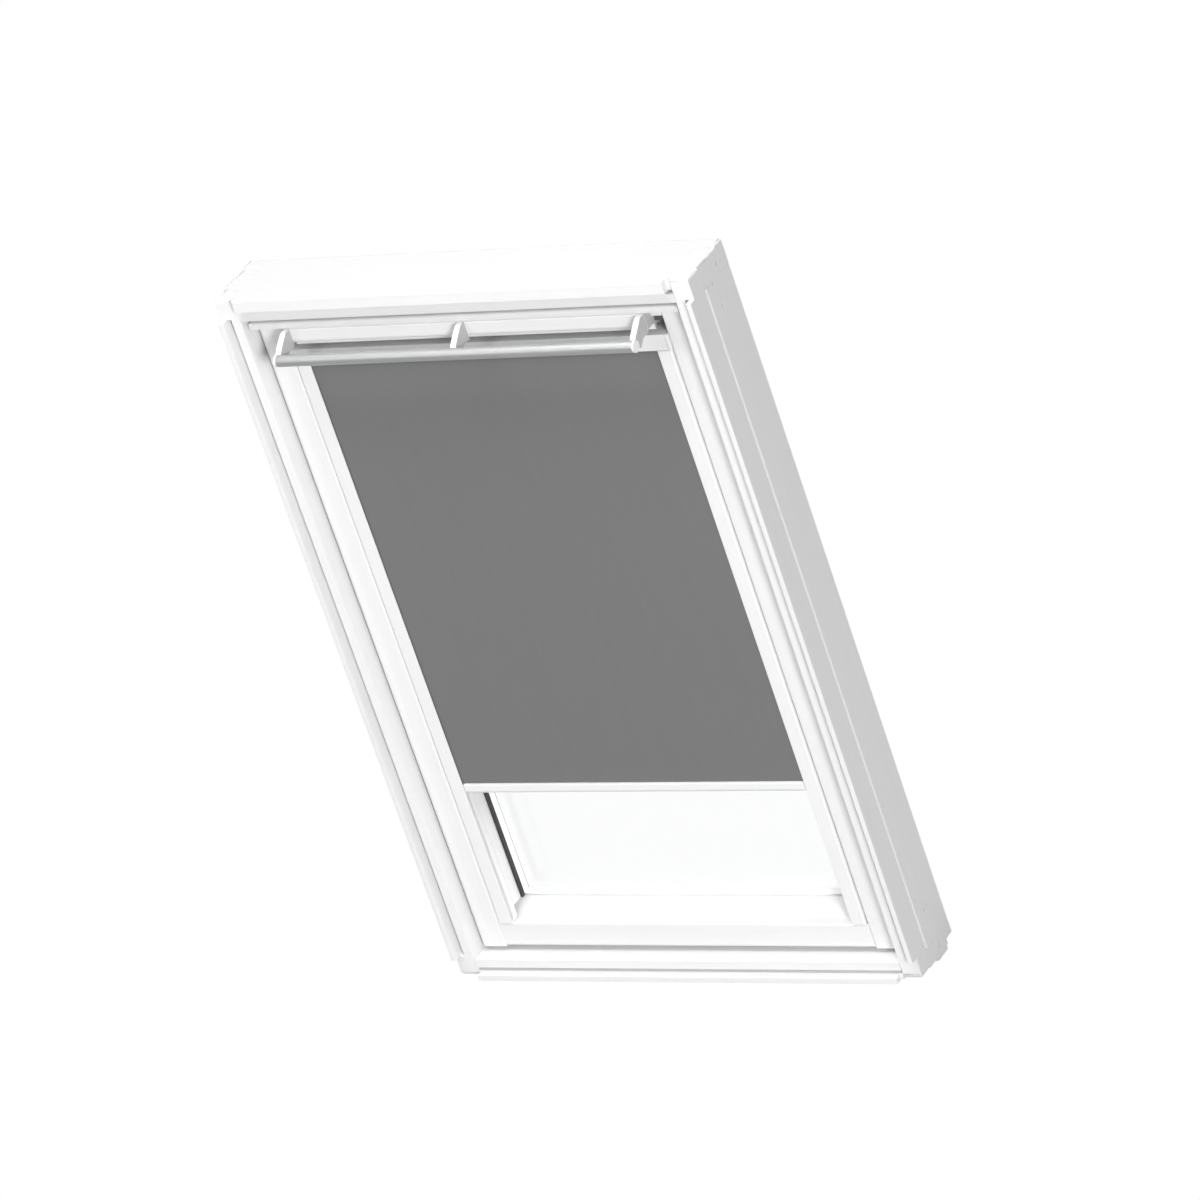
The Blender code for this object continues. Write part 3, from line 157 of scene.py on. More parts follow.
# Cloth
CLOTH_THICKNESS = 0.4 * MM
CLOTH_CELL = 8 * MM
BACK_STRIP_SETBACK = 0.7 * MM
BACK_STRIP_KEEP = 0.015
STRIP_OVERLAP = 6 * MM


def joint_range(name):
    """The lowest and highest value of a slide."""
    return next(joint["range_m"] for joint in frame["joints"] if joint["name"] == name)


def in_scene(name, data):
    """A new object at the origin that shows the data."""
    made = bpy.data.objects.new(name, data)
    bpy.context.scene.collection.objects.link(made)
    return made


def mesh_of(shape, name):
    """What was built in bmesh, as a mesh."""
    mesh = bpy.data.meshes.new(name)
    shape.to_mesh(mesh)
    shape.free()
    return mesh


def corners_of(node):
    """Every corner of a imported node, in the window's frame."""
    return [vertex.co for vertex in frame["nodes"][node].data.vertices]


class Number:
    """A number that a node tree works out. Sums on it add Math nodes."""

    def __init__(self, tree, socket):
        self.tree = tree
        self.socket = socket

    def combined(self, operation, *others):
        values = {0: self.socket}
        for slot, other in enumerate(others, 1):
            values[slot] = other.socket if isinstance(other, Number) else other
        return self.tree.number("ShaderNodeMath", {"operation": operation}, values)

    def __add__(self, other):
        return self.combined("ADD", other)

    def __radd__(self, other):
        return self.combined("ADD", other)

    def __sub__(self, other):
        return self.combined("SUBTRACT", other)

    def __rsub__(self, other):
        return self.combined("MULTIPLY_ADD", -1.0, other)

    def __mul__(self, other):
        return self.combined("MULTIPLY", other)

    def __rmul__(self, other):
        return self.combined("MULTIPLY", other)

    def wave(self):
        return self.combined("SINE")

    def above(self, least):
        return self.combined("MAXIMUM", least)

    def over(self, edge):
        return self.combined("GREATER_THAN", edge)

    def size(self):
        return self.combined("ABSOLUTE")


class Nodes:
    """A node tree that is written down node by node."""

    def __init__(self, tree):
        self.tree = tree

    def node(self, kind, settings=None, values=None):
        made = self.tree.nodes.new(kind)
        for key, value in (settings or {}).items():
            setattr(made, key, value)
        for key, value in (values or {}).items():
            value = value.socket if isinstance(value, Number) else value
            if isinstance(value, bpy.types.NodeSocket):
                self.tree.links.new(value, made.inputs[key])
            else:
                made.inputs[key].default_value = value
        return made

    def number(self, kind, settings=None, values=None, output=0):
        return Number(self, self.node(kind, settings, values).outputs[output])

    def in_sight(self):
        """1 on rays from the camera, also through glass, and 0 on all others."""
        rays = self.node("ShaderNodeLightPath").outputs
        return Number(self, rays["Is Camera Ray"]).above(Number(self, rays["Is Transmission Ray"]))


class Finish(Nodes):
    """A material made of nodes. Sockets that hold one value all over are set directly."""

    def __init__(self, name, **sockets):
        self.material = bpy.data.materials.new(name)
        self.material.use_nodes = True
        super().__init__(self.material.node_tree)
        self.surface = self.tree.nodes["Principled BSDF"]
        self.output = self.tree.nodes["Material Output"]
        for socket, value in sockets.items():
            self.surface.inputs[socket.replace("_", " ")].default_value = value

    def place(self, stretch=(1, 1, 1)):
        """Object coordinates, stretched so that a pattern runs along the piece."""
        source = self.node("ShaderNodeTexCoord").outputs["Object"]
        values = {"Vector": source, "Scale": stretch}
        return self.node("ShaderNodeMapping", values=values).outputs[0]

    def axis(self, letter):
        source = self.node("ShaderNodeTexCoord").outputs["Object"]
        return Number(self, self.node("ShaderNodeSeparateXYZ", values={0: source}).outputs[letter])

    def noise(self, scale, detail=3.0, stretch=(1, 1, 1)):
        values = {"Vector": self.place(stretch), "Scale": scale, "Detail": detail}
        return self.number("ShaderNodeTexNoise", values=values)

    def end_face(self):
        """1 on faces that look along the window's width, and 0 on all others."""
        normal = self.node("ShaderNodeNewGeometry").outputs["Normal"]
        parts = self.node("ShaderNodeSeparateXYZ", values={0: normal})
        return Number(self, parts.outputs["X"]).size().over(END_FACE)

    def mixed(self, first, second, factor):
        values = {0: factor}
        for slot, colour in ((6, first), (7, second)):
            values[slot] = colour if isinstance(colour, bpy.types.NodeSocket) else (*colour, 1)
        return self.node("ShaderNodeMix", {"data_type": "RGBA"}, values).outputs[2]

    def colour(self, dark, light, factor):
        self.tree.links.new(self.mixed(dark, light, factor), self.surface.inputs["Base Color"])

    def capped_with_end_shade(self, cap):
        """The same finish with its end faces in another colour: painted shade, and where a piece has
        them, grey end caps.
        """
        base = self.surface.inputs["Base Color"]
        shown = self.mixed(base.links[0].from_socket, cap, self.end_face())
        self.tree.links.new(shown, base)
        return self

    def rough(self, value):
        self.tree.links.new(value.socket, self.surface.inputs["Roughness"])

    def bump(self, height, depth):
        values = {"Height": height, "Distance": depth, "Strength": 1.0}
        bump = self.node("ShaderNodeBump", values=values)
        self.tree.links.new(bump.outputs[0], self.surface.inputs["Normal"])
        return self


def lacquer(name, stretch):
    """White lacquer over wood: a faint grain under the film, which runs along the piece."""
    finish = Finish(name, Specular_IOR_Level=0.45, Coat_Weight=0.12, Coat_Roughness=0.2)
    grain = finish.noise(55, 4, stretch)
    film = finish.noise(320, 2)
    finish.colour((0.84, 0.84, 0.838), (0.885, 0.885, 0.885), grain)
    finish.rough(0.3 + 0.12 * film)
    return finish.bump(grain * 0.7 + film * 0.3, 0.05 * MM)


def moulding(name):
    """Satin white plastic with a fine spark texture."""
    finish = Finish(name, Specular_IOR_Level=0.5)
    spark = finish.noise(1400, 2)
    cloud = finish.noise(9, 2)
    finish.colour((0.86, 0.86, 0.858), (0.89, 0.89, 0.89), cloud)
    finish.rough(0.34 + 0.1 * spark)
    return finish.bump(spark, 0.02 * MM)


def white_moulding():
    return moulding("white_moulding").material


def bracket_moulding():
    """White moulding with its side faces painted grey as painted shade."""
    return moulding("bracket_moulding").capped_with_end_shade(END_GREY_AND_SHADE).material


def flap_lacquer():
    """Lacquered flap with grey end faces: grey end caps, with painted shade on them."""
    return lacquer("flap_lacquer", GRAIN_ACROSS).capped_with_end_shade(END_GREY_AND_SHADE).material


def anodised():
    """Satin anodised aluminium, drawn along its length."""
    finish = Finish("anodised", Metallic=0.9, Specular_IOR_Level=0.5)
    draw = finish.noise(900, 3, DRAWN_ACROSS)
    finish.colour((0.54, 0.545, 0.55), (0.62, 0.625, 0.63), draw)
    finish.rough(0.46 + 0.12 * draw)
    return finish.bump(draw, 0.01 * MM).material


def zinc():
    """Zinc plating: cool grey, with a soft cloudy spangle."""
    finish = Finish("zinc", Metallic=0.95)
    spangle = finish.number("ShaderNodeTexVoronoi", values={"Vector": finish.place(), "Scale": 180})
    finish.colour((0.5, 0.51, 0.52), (0.66, 0.67, 0.69), spangle)
    finish.rough(0.28 + 0.25 * spangle)
    return finish.bump(finish.noise(600), 0.02 * MM).material


def cladding():
    """Matt dark grey coil coating on aluminium."""
    finish = Finish("cladding", Metallic=0.3, Specular_IOR_Level=0.4)
    grit = finish.noise(1800, 2)
    weather = finish.noise(6, 4)
    finish.colour((0.07, 0.074, 0.078), (0.1, 0.105, 0.11), weather)
    finish.rough(0.42 + 0.16 * grit)
    return finish.bump(grit, 0.02 * MM).material


def rubber():
    """Black sealing rubber, a little dusty; also the dark of the spacer's holes, as painted shade.
    """
    finish = Finish("rubber", Specular_IOR_Level=0.35)
    dust = finish.noise(120, 4)
    finish.colour((0.035, 0.035, 0.037), (0.07, 0.07, 0.072), dust)
    finish.rough(0.6 + 0.2 * dust)
    return finish.bump(finish.noise(900), 0.03 * MM).material


def glide_plastic():
    """Dark grey nylon of the glides."""
    finish = Finish("glide_nylon", Specular_IOR_Level=0.4)
    wear = finish.noise(400, 3)
    finish.colour((0.07, 0.073, 0.078), (0.12, 0.124, 0.13), wear)
    finish.rough(0.42 + 0.15 * wear)
    return finish.bump(wear, 0.02 * MM).material


def filter_foam():
    """Open grey foam: light walls, with the cells between painted dark as shade in the pores."""
    finish = Finish("filter_foam", Specular_IOR_Level=0.2)
    cells = finish.number("ShaderNodeTexVoronoi", values={"Vector": finish.place(), "Scale": 650})
    finish.colour((0.2, 0.2, 0.2), (0.6, 0.6, 0.6), cells)
    finish.rough(0.85 + 0.1 * cells)
    return finish.bump(cells, 0.4 * MM).material


def spacer_metal():
    """Rolled spacer bar of bright aluminium."""
    finish = Finish("spacer_metal", Metallic=0.35)
    rolled = finish.noise(500, 2)
    finish.colour((0.82, 0.82, 0.82), (0.9, 0.9, 0.9), rolled)
    finish.rough(0.35 + 0.15 * rolled)
    return finish.bump(rolled, 0.02 * MM).material


def blind_fabric():
    """Grey coated cloth: a fine plain weave, evened out by its coating."""
    finish = Finish("blind_fabric", Specular_IOR_Level=0.25)
    turns = 2 * math.pi / WEAVE_PITCH
    warp = (finish.axis("X") * turns).wave()
    weft = (finish.axis("Z") * turns).wave()
    weave = warp * weft * 0.5 + 0.5
    slub = finish.noise(140, 3, SLUB_UPRIGHT)
    finish.colour((0.172, 0.172, 0.172), (0.196, 0.196, 0.196), weave * 0.5 + slub * 0.5)
    finish.rough(0.78 + 0.12 * weave)
    return finish.material


def clear_glass():
    """Float glass. Rays from lamps pass straight through, so what is behind it is lit."""
    finish = Finish("clear_glass", Roughness=0.0, IOR=1.45, Transmission_Weight=1.0)
    finish.surface.inputs["Base Color"].default_value = (0.994, 0.998, 0.996, 1)
    clear = finish.node("ShaderNodeBsdfTransparent")
    lamps = finish.node("ShaderNodeLightPath").outputs["Is Shadow Ray"]
    mix = finish.node("ShaderNodeMixShader", values={
        0: lamps, 1: finish.surface.outputs[0], 2: clear.outputs[0]})
    finish.tree.links.new(mix.outputs[0], finish.output.inputs["Surface"])
    return finish.material


def floor_finish():
    """Pale studio floor that glows where the camera sees it, so it is as white as the backdrop."""
    finish = Finish("floor", Specular_IOR_Level=0.0, Roughness=1.0)
    finish.colour((0.5, 0.5, 0.5), (0.53, 0.53, 0.53), finish.noise(2))
    glow = finish.node("ShaderNodeEmission", values={"Color": (1, 1, 1, 1), "Strength": 1.0})
    mix = finish.node("ShaderNodeMixShader", values={
        0: finish.in_sight(), 1: finish.surface.outputs[0], 2: glow.outputs[0]})
    finish.tree.links.new(mix.outputs[0], finish.output.inputs["Surface"])
    return finish.material


FINISHES = {
    "lacquer_upright": lacquer("lacquer_upright", GRAIN_UPRIGHT).material,
    "lacquer_across": lacquer("lacquer_across", GRAIN_ACROSS).material,
    "flap_lacquer": flap_lacquer(),
    "white_moulding": white_moulding(),
    "bracket_moulding": bracket_moulding(),
    "anodised": anodised(),
    "zinc": zinc(),
    "cladding": cladding(),
    "rubber": rubber(),
    "glide_nylon": glide_plastic(),
    "filter_foam": filter_foam(),
    "spacer_metal": spacer_metal(),
    "blind_fabric": blind_fabric(),
    "clear_glass": clear_glass(),
}


def link(mesh, name, finish, body):
    """A finished mesh as a piece that rides on a body."""
    mesh.materials.clear()
    mesh.materials.append(FINISHES[finish])
    piece = in_scene(name, mesh)
    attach(piece, body)
    return piece


def plain_mesh(source, name):
    """What an object shows once its modifiers are worked out, as a mesh of its own."""
    bpy.context.view_layer.update()
    shown = source.evaluated_get(bpy.context.evaluated_depsgraph_get())
    mesh = bpy.data.meshes.new_from_object(shown)
    mesh.name = name
    bpy.data.objects.remove(source)
    return mesh


class Growth(Nodes):
    """A Geometry Nodes tree that sets one small shape on many places."""

    def __init__(self, name, sizes):
        super().__init__(bpy.data.node_groups.new(name, "GeometryNodeTree"))
        self.sockets = {}
        self.add_input("Places", "NodeSocketGeometry")
        for size in sizes:
            self.add_input(size, "NodeSocketFloat")
        self.add_input("Seed", "NodeSocketInt")
        self.add_input("Finish", "NodeSocketMaterial")
        self.tree.interface.new_socket("Grown", in_out="OUTPUT", socket_type="NodeSocketGeometry")
        self.inputs = self.tree.nodes.new("NodeGroupInput").outputs

    def add_input(self, name, kind):
        socket = self.tree.interface.new_socket(name, in_out="INPUT", socket_type=kind)
        self.sockets[name] = socket.identifier

    def size(self, name):
        return Number(self, self.inputs[name])

    def set_on(self, places, shape):
        """Stands the shape on each place, facing the way that the place names, turned by chance."""
        facing = self.node("GeometryNodeInputNamedAttribute", {"data_type": "FLOAT_VECTOR"},
                           {"Name": "facing"})
        upright = self.node("FunctionNodeAlignRotationToVector", {"axis": "Z"},
                            {"Vector": facing.outputs[0]})
        chance = self.number("FunctionNodeRandomValue", {"data_type": "FLOAT"},
                             {2: 0.0, 3: math.pi, "Seed": self.inputs["Seed"]}, 1)
        spin = self.node("FunctionNodeAxisAngleToRotation", values={
            "Axis": (0, 0, 1), "Angle": chance})
        turned = self.node("FunctionNodeRotateRotation", {"rotation_space": "LOCAL"},
                           {0: upright.outputs[0], 1: spin.outputs[0]})
        set_down = self.node("GeometryNodeInstanceOnPoints", values={
            "Points": places, "Instance": shape, "Rotation": turned.outputs[0]})
        whole = self.node("GeometryNodeRealizeInstances", values={0: set_down.outputs[0]})
        finished = self.node("GeometryNodeSetMaterial", values={
            "Geometry": whole.outputs[0], "Material": self.inputs["Finish"]})
        self.node("NodeGroupOutput", values={0: finished.outputs[0]})
        return self


def screw_growth():
    """Low tapered screw heads with a cross recess."""
    growth = Growth("screw_heads", ("Radius", "Height", "Slot Width"))
    radius = growth.size("Radius")
    height = growth.size("Height")
    width = growth.size("Slot Width")
    head = growth.node("GeometryNodeMeshCone", values={
        "Vertices": SCREW_SIDES, "Radius Top": radius * SCREW_CROWN, "Radius Bottom": radius,
        "Depth": height})
    arms = []
    for across, along in ((radius * SLOT_REACH, width), (width, radius * SLOT_REACH)):
        box = growth.node("ShaderNodeCombineXYZ", values={0: across, 1: along, 2: height})
        raised = growth.node("ShaderNodeCombineXYZ", values={2: height})
        arm = growth.node("GeometryNodeMeshCube", values={"Size": box.outputs[0]})
        arms.append(growth.node("GeometryNodeTransform", values={
            "Geometry": arm.outputs[0], "Translation": raised.outputs[0]}))
    cut = growth.node("GeometryNodeMeshBoolean", {"operation": "DIFFERENCE", "solver": "EXACT"},
                      {0: head.outputs[0]})
    for arm in arms:
        growth.tree.links.new(arm.outputs[0], cut.inputs[1])
    places = growth.node("GeometryNodeMeshToPoints", values={0: growth.inputs["Places"]})
    return growth.set_on(places.outputs[0], cut.outputs[0])


def perforation_growth():
    """Small discs that stand for holes, at an even pitch along lines; their dark finish is painted
    shade in the holes.
    """
    growth = Growth("perforations", ("Radius", "Height", "Pitch"))
    hole = growth.node("GeometryNodeMeshCylinder", values={
        "Vertices": PERFORATION_SIDES, "Radius": growth.size("Radius"),
        "Depth": growth.size("Height")})
    lines = growth.node("GeometryNodeMeshToCurve", values={0: growth.inputs["Places"]})
    spaced = growth.node("GeometryNodeResampleCurve", {"mode": "LENGTH"}, {
        "Curve": lines.outputs[0], "Length": growth.size("Pitch")})
    return growth.set_on(spaced.outputs[0], hole.outputs[0])


def grown(name, growth, places, lines, sizes, finish, body):
    """Grows a tree's shapes on places, each a point and the way it faces, as one plain piece."""
    mesh = bpy.data.meshes.new(name + "_places")
    mesh.from_pydata([point for point, _ in places], lines, [])
    facing = mesh.attributes.new("facing", "FLOAT_VECTOR", "POINT")
    for item, (_, way) in zip(facing.data, places):
        item.vector = way
    source = in_scene(name + "_places", mesh)
    modifier = source.modifiers.new("growth", "NODES")
    modifier.node_group = growth.tree
    modifier[growth.sockets["Seed"]] = len(places)
    modifier[growth.sockets["Finish"]] = FINISHES[finish]
    for size, value in sizes.items():
        modifier[growth.sockets[size]] = value
    return link(plain_mesh(source, name), name, finish, body)


def cover_places(covers):
    """Screw places down the outside of the upright covers and along the covers across."""
    places = []
    for node in covers:
        low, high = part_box(node)
        middle = (low + high) / 2
        upright = high.z - low.z > high.x - low.x
        reach = (high.z - low.z if upright else high.x - low.x) / 2 - SCREW_END_MARGIN
        for step in (-1, 0, 1):
            x = middle.x if upright else middle.x + step * reach
            z = middle.z + step * reach if upright else middle.z
            places.append(((x, high.y, z), (0, 1, 0)))
    return places


def plate_places(plates, outwards):
    """Two screw places on each pivot plate, above and below its middle.

    An arm's pin stands out past its plate, so there the face is found at the plate's top.
    """
    places = []
    for side, node in zip((-1, 1), plates):
        low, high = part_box(node)
        way = side * outwards
        face = high.x if way > 0 else low.x
        if outwards > 0:
            top = [corner for corner in corners_of(node) if high.z - corner.z < MM]
            face = side * max(corner.x * side for corner in top)
        for step in (-1, 1):
            z = (low.z + high.z) / 2 + step * PLATE_SCREW_REACH
            places.append(((face, (low.y + high.y) / 2, z), (way, 0, 0)))
    return places


def fasteners():
    growth = screw_growth()
    frame_covers = ["frame_cover_" + place for place in ("left", "right", "head", "sill")]
    sash_covers = ["sash_cover_" + place for place in ("left", "right", "head", "sill")]
    grown("frame_cover_screws", growth, cover_places(frame_covers), [], COVER_SCREW,
          "cladding", "frame")
    grown("sash_cover_screws", growth, cover_places(sash_covers), [], COVER_SCREW,
          "cladding", "sash")
    cups = plate_places(["pivot_cup_" + side for side in SIDES], -1)
    low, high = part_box("latch_keep")
    middle = (low + high) / 2
    cups += [((side * KEEP_SCREW_REACH, middle.y, low.z), (0, 0, -1)) for side in (-1, 1)]
    grown("frame_plate_screws", growth, cups, [], PLATE_SCREW, "zinc", "frame")
    arms = plate_places(["pivot_arm_" + side for side in SIDES], 1)
    low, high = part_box("lock_case")
    middle = (low + high) / 2
    arms += [((side * LOCK_SCREW_REACH, low.y, middle.z), (0, -1, 0)) for side in (-1, 1)]
    grown("sash_plate_screws", growth, arms, [], PLATE_SCREW, "zinc", "sash")


def spacer_holes():
    """Two rows of holes round the inner faces of the bar between the panes, as dark discs: painted
    shade where the holes are.
    """
    corners = corners_of("glass_spacer")
    low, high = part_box("glass_spacer")
    inner = min(abs(corner.x) for corner in corners)
    bottom = min(corner.z for corner in corners if abs(corner.x) < inner + MM)
    top = max(corner.z for corner in corners if abs(corner.x) < inner + MM)
    short = inner - PERFORATION_MARGIN
    places = []
    for row in (-1, 1):
        y = (low.y + high.y) / 2 + row * PERFORATION_ROW
        for z, way in ((bottom, 1), (top, -1)):
            places += [((-short, y, z), (0, 0, way)), ((short, y, z), (0, 0, way))]
        for side in (-1, 1):
            places += [((side * inner, y, bottom + PERFORATION_MARGIN), (-side, 0, 0)),
                       ((side * inner, y, top - PERFORATION_MARGIN), (-side, 0, 0))]
    lines = [(i, i + 1) for i in range(0, len(places), 2)]
    grown("spacer_holes", perforation_growth(), places, lines, PERFORATION, "rubber", "sash")


def clean_copy(node):
    """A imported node's triangles as one closed shape with whole faces."""
    faces = [polygon.vertices for polygon in frame["nodes"][node].data.polygons]
    bare = bpy.data.meshes.new(node + "_bare")
    bare.from_pydata(corners_of(node), [], faces)
    shape = bmesh.new()
    shape.from_mesh(bare)
    bmesh.ops.remove_doubles(shape, verts=shape.verts, dist=WELD_REACH)
    bmesh.ops.dissolve_limit(shape, angle_limit=FLAT_ANGLE, verts=shape.verts, edges=shape.edges)
    return shape


def rounded(node, width, segments=2, softer=None):
    """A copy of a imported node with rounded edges. Softer gives an edge's share of the width."""
    shape = clean_copy(node)
    weights = shape.edges.layers.float.new("bevel_weight_edge")
    for edge in shape.edges:
        sharp = edge.is_manifold and edge.calc_face_angle() > EDGE_ANGLE
        share = softer(edge) if softer else 1.0
        edge[weights] = share if sharp and edge.calc_length() > SHORTEST_ROUNDED else 0.0
    for face in shape.faces:
        face.smooth = True
    name = node + "_shape"
    source = in_scene(name, mesh_of(shape, name))
    bevel = source.modifiers.new("edges", "BEVEL")
    bevel.width = width
    bevel.segments = segments
    bevel.limit_method = "WEIGHT"
    bevel.use_clamp_overlap = softer is None
    edged = plain_mesh(source, node + "_edged")
    edged.set_sharp_from_angle(angle=CREASE_ANGLE)
    source = in_scene(node + "_edged", edged)
    source.modifiers.new("even_normals", "WEIGHTED_NORMAL").keep_sharp = True
    return plain_mesh(source, node + "_finished")


def finished_node(node, body, finish, width, segments=2, softer=None):
    piece = link(rounded(node, width, segments, softer), node + "_finished", finish, body)
    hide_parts(node)


def paint_node(node, finish):
    """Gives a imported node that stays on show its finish."""
    piece = frame["nodes"][node]
    piece.data.materials.clear()
    piece.data.materials.append(FINISHES[finish])


def comb_share(big):
    """Rounding of a frame bar. Big is the width at the outer ends of its corner fingers.

    The fingers' other outer edges are slight, hidden ones sharp, and the rest of the bar is even.
    """
    high = packed_box[1]
    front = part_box("frame_head")[0].y + LIP_PROUD
    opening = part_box("frame_jamb_right")[0].x
    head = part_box("frame_head")[0].z
    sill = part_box("frame_sill")[1].z

    def share(edge):
        a, b = (vertex.co for vertex in edge.verts)
        nearest, lowest, highest = min(abs(a.x), abs(b.x)), min(a.z, b.z), max(a.z, b.z)
        if nearest < opening - MM or (lowest < head - MM and highest > sill + MM):
            return FRAME_EDGE / big
        if lowest < high.z - MM and highest > MM:
            return 0.0
        along = ALONG_SHARE * edge.calc_length()
        if abs(a.y - b.y) > along and nearest > high.x - MM:
            return 1.0
        if abs(a.x - b.x) > along:
            return 1.0 if max(a.y, b.y) < front + MM else FINGER_EDGE / big
        return 0.0

    return share


def long_share(node, outer, inner, rest, upwards=-1):
    """Rounding of a long piece: most on its front edge away from the glass, less on the other."""
    low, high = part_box(node)
    upright = high.z - low.z > high.x - low.x
    outside = max(-low.x, high.x) if upright else max(upwards * low.z, upwards * high.z)

    def share(edge):
        a, b = (vertex.co for vertex in edge.verts)
        if edge.calc_length() < LONG_EDGE or max(a.y, b.y) > low.y + MM:
            return rest / outer
        reach = min(abs(a.x), abs(b.x)) if upright else min(upwards * a.z, upwards * b.z)
        return 1.0 if reach > outside - MM else inner / outer

    return share


def frame_pieces():
    for node in ("frame_head", "frame_sill"):
        finished_node(node, "frame", "lacquer_across", RAIL_CORNER, CORNER_STEPS,
                      comb_share(RAIL_CORNER))
    for side in SIDES:
        finished_node("frame_jamb_" + side, "frame", "lacquer_upright", JAMB_CORNER, CORNER_STEPS,
                      comb_share(JAMB_CORNER))
        finished_node("frame_cover_" + side, "frame", "cladding", FITTING_EDGE)
        finished_node("pivot_cup_" + side, "frame", "zinc", FITTING_EDGE)
    for node in ("frame_cover_head", "frame_cover_sill"):
        finished_node(node, "frame", "cladding", FITTING_EDGE)
    finished_node("latch_keep", "frame", "zinc", FITTING_EDGE)


def gasket():
    """The glazing seal in sight: along the sides and head. No dark line shows at the sill."""
    low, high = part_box("glazing_gasket")
    corners = corners_of("glazing_gasket")
    inner = min(abs(corner.x) for corner in corners)
    head = max(corner.z for corner in corners if abs(corner.x) < inner + MM)
    bars = [(low.x, low.z), (-inner, low.z), (-inner, head), (inner, head),
            (inner, low.z), (high.x, low.z), (high.x, high.z), (low.x, high.z)]
    shape = bmesh.new()
    face = shape.faces.new([shape.verts.new((x, low.y, z)) for x, z in bars])
    pushed = bmesh.ops.extrude_face_region(shape, geom=[face])
    back = [item for item in pushed["geom"] if isinstance(item, bmesh.types.BMVert)]
    bmesh.ops.translate(shape, verts=back, vec=(0, high.y - low.y, 0))
    bmesh.ops.recalc_face_normals(shape, faces=shape.faces)
    name = "glazing_gasket_finished"
    piece = link(mesh_of(shape, name), name, "rubber", "sash")
    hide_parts("glazing_gasket")


def sash_pieces():
    finished_node("sash_head", "sash", "lacquer_across", SASH_EDGE)
    finished_node("head_bead", "sash", "lacquer_across", BEAD_ROUND, CORNER_STEPS,
                  long_share("head_bead", BEAD_ROUND, SASH_EDGE, SASH_EDGE, 1))
    finished_node("sash_sill", "sash", "lacquer_across", SILL_ROUND, CORNER_STEPS,
                  long_share("sash_sill", SILL_ROUND, SILL_INNER_ROUND, SASH_EDGE))
    for side in SIDES:
        stile = "sash_stile_" + side
        finished_node(stile, "sash", "lacquer_upright", STILE_ROUND, CORNER_STEPS,
                      long_share(stile, STILE_ROUND, STILE_INNER_ROUND, SASH_EDGE))
        finished_node("sash_cover_" + side, "sash", "cladding", FITTING_EDGE)
        finished_node("pivot_arm_" + side, "sash", "zinc", FITTING_EDGE)
        finished_node("air_filter_" + side, "sash", "filter_foam", FITTING_EDGE)
        finished_node("flap_bearing_" + side, "sash", "glide_nylon", FITTING_EDGE)
    for node in ("sash_cover_head", "sash_cover_sill"):
        finished_node(node, "sash", "cladding", FITTING_EDGE)
    for node in ("lock_case", "bolt_guide"):
        finished_node(node, "sash", "zinc", FITTING_EDGE)
    finished_node("latch_claw", "claw", "zinc", FITTING_EDGE)
    finished_node("barrel_bolt", "bolt", "zinc", FITTING_EDGE)
    for node in ("inner_pane", "outer_pane"):
        paint_node(node, "clear_glass")
    finished_node("glass_spacer", "sash", "spacer_metal", FITTING_EDGE)
    gasket()


def flap_share(edge):
    """The flap's front is round at its foot and less at its top. Ends and trunnions stay crisp."""
    low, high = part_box("vent_flap")
    a, b = (vertex.co for vertex in edge.verts)
    if edge.calc_length() < LONG_EDGE:
        return FITTING_EDGE / FLAP_FOOT_ROUND
    if max(a.y, b.y) > low.y + MM:
        return FLAP_EDGE / FLAP_FOOT_ROUND
    return FLAP_TOP_ROUND / FLAP_FOOT_ROUND if a.z > high.z - MM else 1.0


def flap_pieces():
    finished_node("vent_flap", "flap", "flap_lacquer", FLAP_FOOT_ROUND, CORNER_STEPS, flap_share)
    finished_node("flap_seal", "flap", "rubber", FITTING_EDGE)
    finished_node("control_bar", "flap", "anodised", MOULDED_EDGE)
    for place in ("left", "middle", "right"):
        finished_node("bar_bracket_" + place, "flap", "bracket_moulding", BRACKET_EDGE,
                      BRACKET_STEPS)
    for side in SIDES:
        finished_node("bar_cap_" + side, "flap", "white_moulding", MOULDED_EDGE)


def blind_pieces():
    for side in SIDES:
        rail = "blind_rail_" + side
        finished_node(rail, "sash", "white_moulding", RAIL_ROUND, CORNER_STEPS,
                      long_share(rail, RAIL_ROUND, RAIL_EDGE, RAIL_EDGE))
        finished_node("rail_stop_" + side, "sash", "white_moulding", FITTING_EDGE)
        finished_node("casing_cap_" + side, "sash", "white_moulding", MOULDED_EDGE)
        finished_node("roller_plug_" + side, "roller", "white_moulding", FITTING_EDGE)
        finished_node("bar_glide_" + side, "blind_bar", "white_moulding", FITTING_EDGE)
    finished_node("blind_casing", "sash", "white_moulding", MOULDED_EDGE)
    finished_node("roller_tube", "roller", "anodised", FITTING_EDGE)
    finished_node("cloth_wraps", "roller", "blind_fabric", FITTING_EDGE)
    finished_node("bottom_bar", "blind_bar", "white_moulding", FITTING_EDGE)


def cloth_mesh(name, half_width, low, high, depth):
    """A thin upright panel of cloth, as a grid that can be squashed evenly."""
    columns = math.ceil(2 * half_width / CLOTH_CELL)
    rows = math.ceil((high - low) / CLOTH_CELL)
    shape = bmesh.new()
    bmesh.ops.create_grid(shape, x_segments=columns, y_segments=rows, size=0.5)
    for vert in shape.verts:
        x = vert.co.x * 2 * half_width
        z = (low + high) / 2 + vert.co.y * (high - low)
        vert.co = (x, depth, z)
    shape.normal_update()
    bmesh.ops.solidify(shape, geom=shape.faces[:], thickness=CLOTH_THICKNESS)
    bmesh.ops.recalc_face_normals(shape, faces=shape.faces)
    return mesh_of(shape, name)


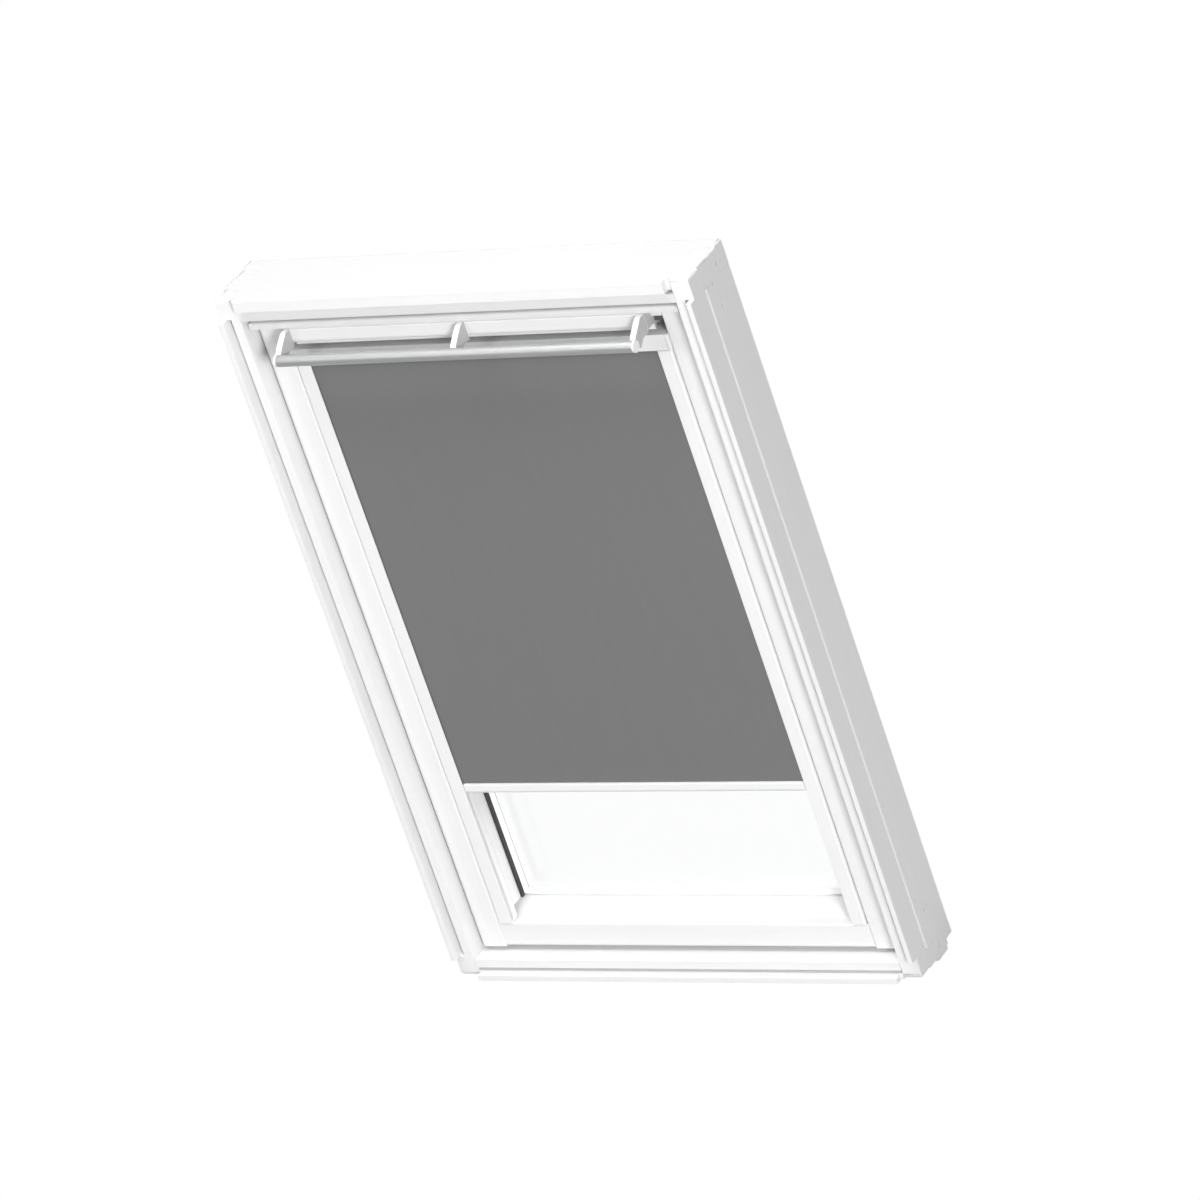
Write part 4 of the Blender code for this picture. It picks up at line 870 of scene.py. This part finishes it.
def cloth_pieces():
    """The drawn cloth, and a strip behind it that shows when the bottom bar goes lower.

    A squashed piece shortens towards both limits of the slide. So on the way down the drawn cloth
    shortens too, by the share that this way is of the way up, and the strip covers what is bare.
    """
    low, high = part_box("blind_cloth")
    half_width = high.x
    drop = high.z - low.z
    depth = low.y
    bottom, top = joint_range("blind_slide")
    mesh = cloth_mesh("cloth_sheet", half_width, low.z, high.z, depth)
    sheet = link(mesh, "cloth_sheet", "blind_fabric", "sash")
    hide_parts("blind_cloth")
    keep = (drop - top) / drop
    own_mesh(sheet)
    share = -bottom / top
    shown = drop * (1 - (1 - keep) * share)
    strip_now = drop - bottom - shown + STRIP_OVERLAP
    strip = strip_now / (1 - (1 - BACK_STRIP_KEEP) * share)
    back = depth + BACK_STRIP_SETBACK
    mesh = cloth_mesh("cloth_reserve", half_width, low.z, low.z + strip, back)
    reserve = link(mesh, "cloth_reserve", "blind_fabric", "blind_bar")
    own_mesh(reserve)


def camera():
    data = bpy.data.cameras.new("camera")
    data.lens = CAMERA_LENS
    data.sensor_width = CAMERA_SENSOR
    data.clip_end = CAMERA_REACH
    seen = in_scene("camera", data)
    back = CAMERA_RIGHT.cross(CAMERA_UP)
    turned = Matrix((CAMERA_RIGHT, CAMERA_UP, back)).transposed().to_4x4()
    seen.matrix_world = Matrix.Translation(CAMERA_PLACE) @ turned
    bpy.context.scene.camera = seen


def lamp(name, place, power):
    data = bpy.data.lights.new(name, "AREA")
    data.shape = "DISK"
    data.size = LAMP_SIZE
    data.energy = power
    direction = Vector(LAMP_AIM) - Vector(place)
    turned = direction.to_track_quat("-Z", "Y").to_matrix().to_4x4()
    in_scene(name, data).matrix_world = Matrix.Translation(place) @ turned


def studio():
    """A glow from the front and a faint one all round, three soft lamps, and a pale floor."""
    world = bpy.data.worlds.new("studio")
    bpy.context.scene.world = world
    world.use_nodes = True
    sky = Nodes(world.node_tree)
    around = sky.node("ShaderNodeTexCoord").outputs["Generated"]
    way = sky.node("ShaderNodeSeparateXYZ", values={0: around})
    glow = (0 - Number(sky, way.outputs["Y"])).above(0) * SURROUND_FRONT + SURROUND_EVEN
    shade = sky.node("ShaderNodeBackground", values={"Color": (1, 1, 1, 1), "Strength": glow})
    plain = sky.node("ShaderNodeBackground", values={
        "Color": (1, 1, 1, 1), "Strength": BACKDROP_WHITE})
    mix = sky.node("ShaderNodeMixShader", values={
        0: sky.in_sight(), 1: shade.outputs[0], 2: plain.outputs[0]})
    shown = sky.tree.nodes["World Output"]
    sky.tree.links.new(mix.outputs[0], shown.inputs["Surface"])
    lamp("top_lamp", TOP_PLACE, TOP_POWER)
    lamp("key_lamp", KEY_PLACE, KEY_POWER)
    lamp("side_lamp", SIDE_PLACE, SIDE_POWER)
    shape = bmesh.new()
    bmesh.ops.create_grid(
        shape, x_segments=FLOOR_CELLS, y_segments=FLOOR_CELLS, size=FLOOR_SIZE / 2)
    bmesh.ops.translate(shape, verts=shape.verts, vec=(0, 0, packed_box[0].z - FLOOR_DROP))
    mesh = mesh_of(shape, "floor")
    mesh.materials.append(floor_finish())
    floor = in_scene("floor", mesh)


bpy.context.scene.view_settings.view_transform = "Standard"
camera()
studio()
frame_pieces()
sash_pieces()
flap_pieces()
blind_pieces()
cloth_pieces()
fasteners()
spacer_holes()
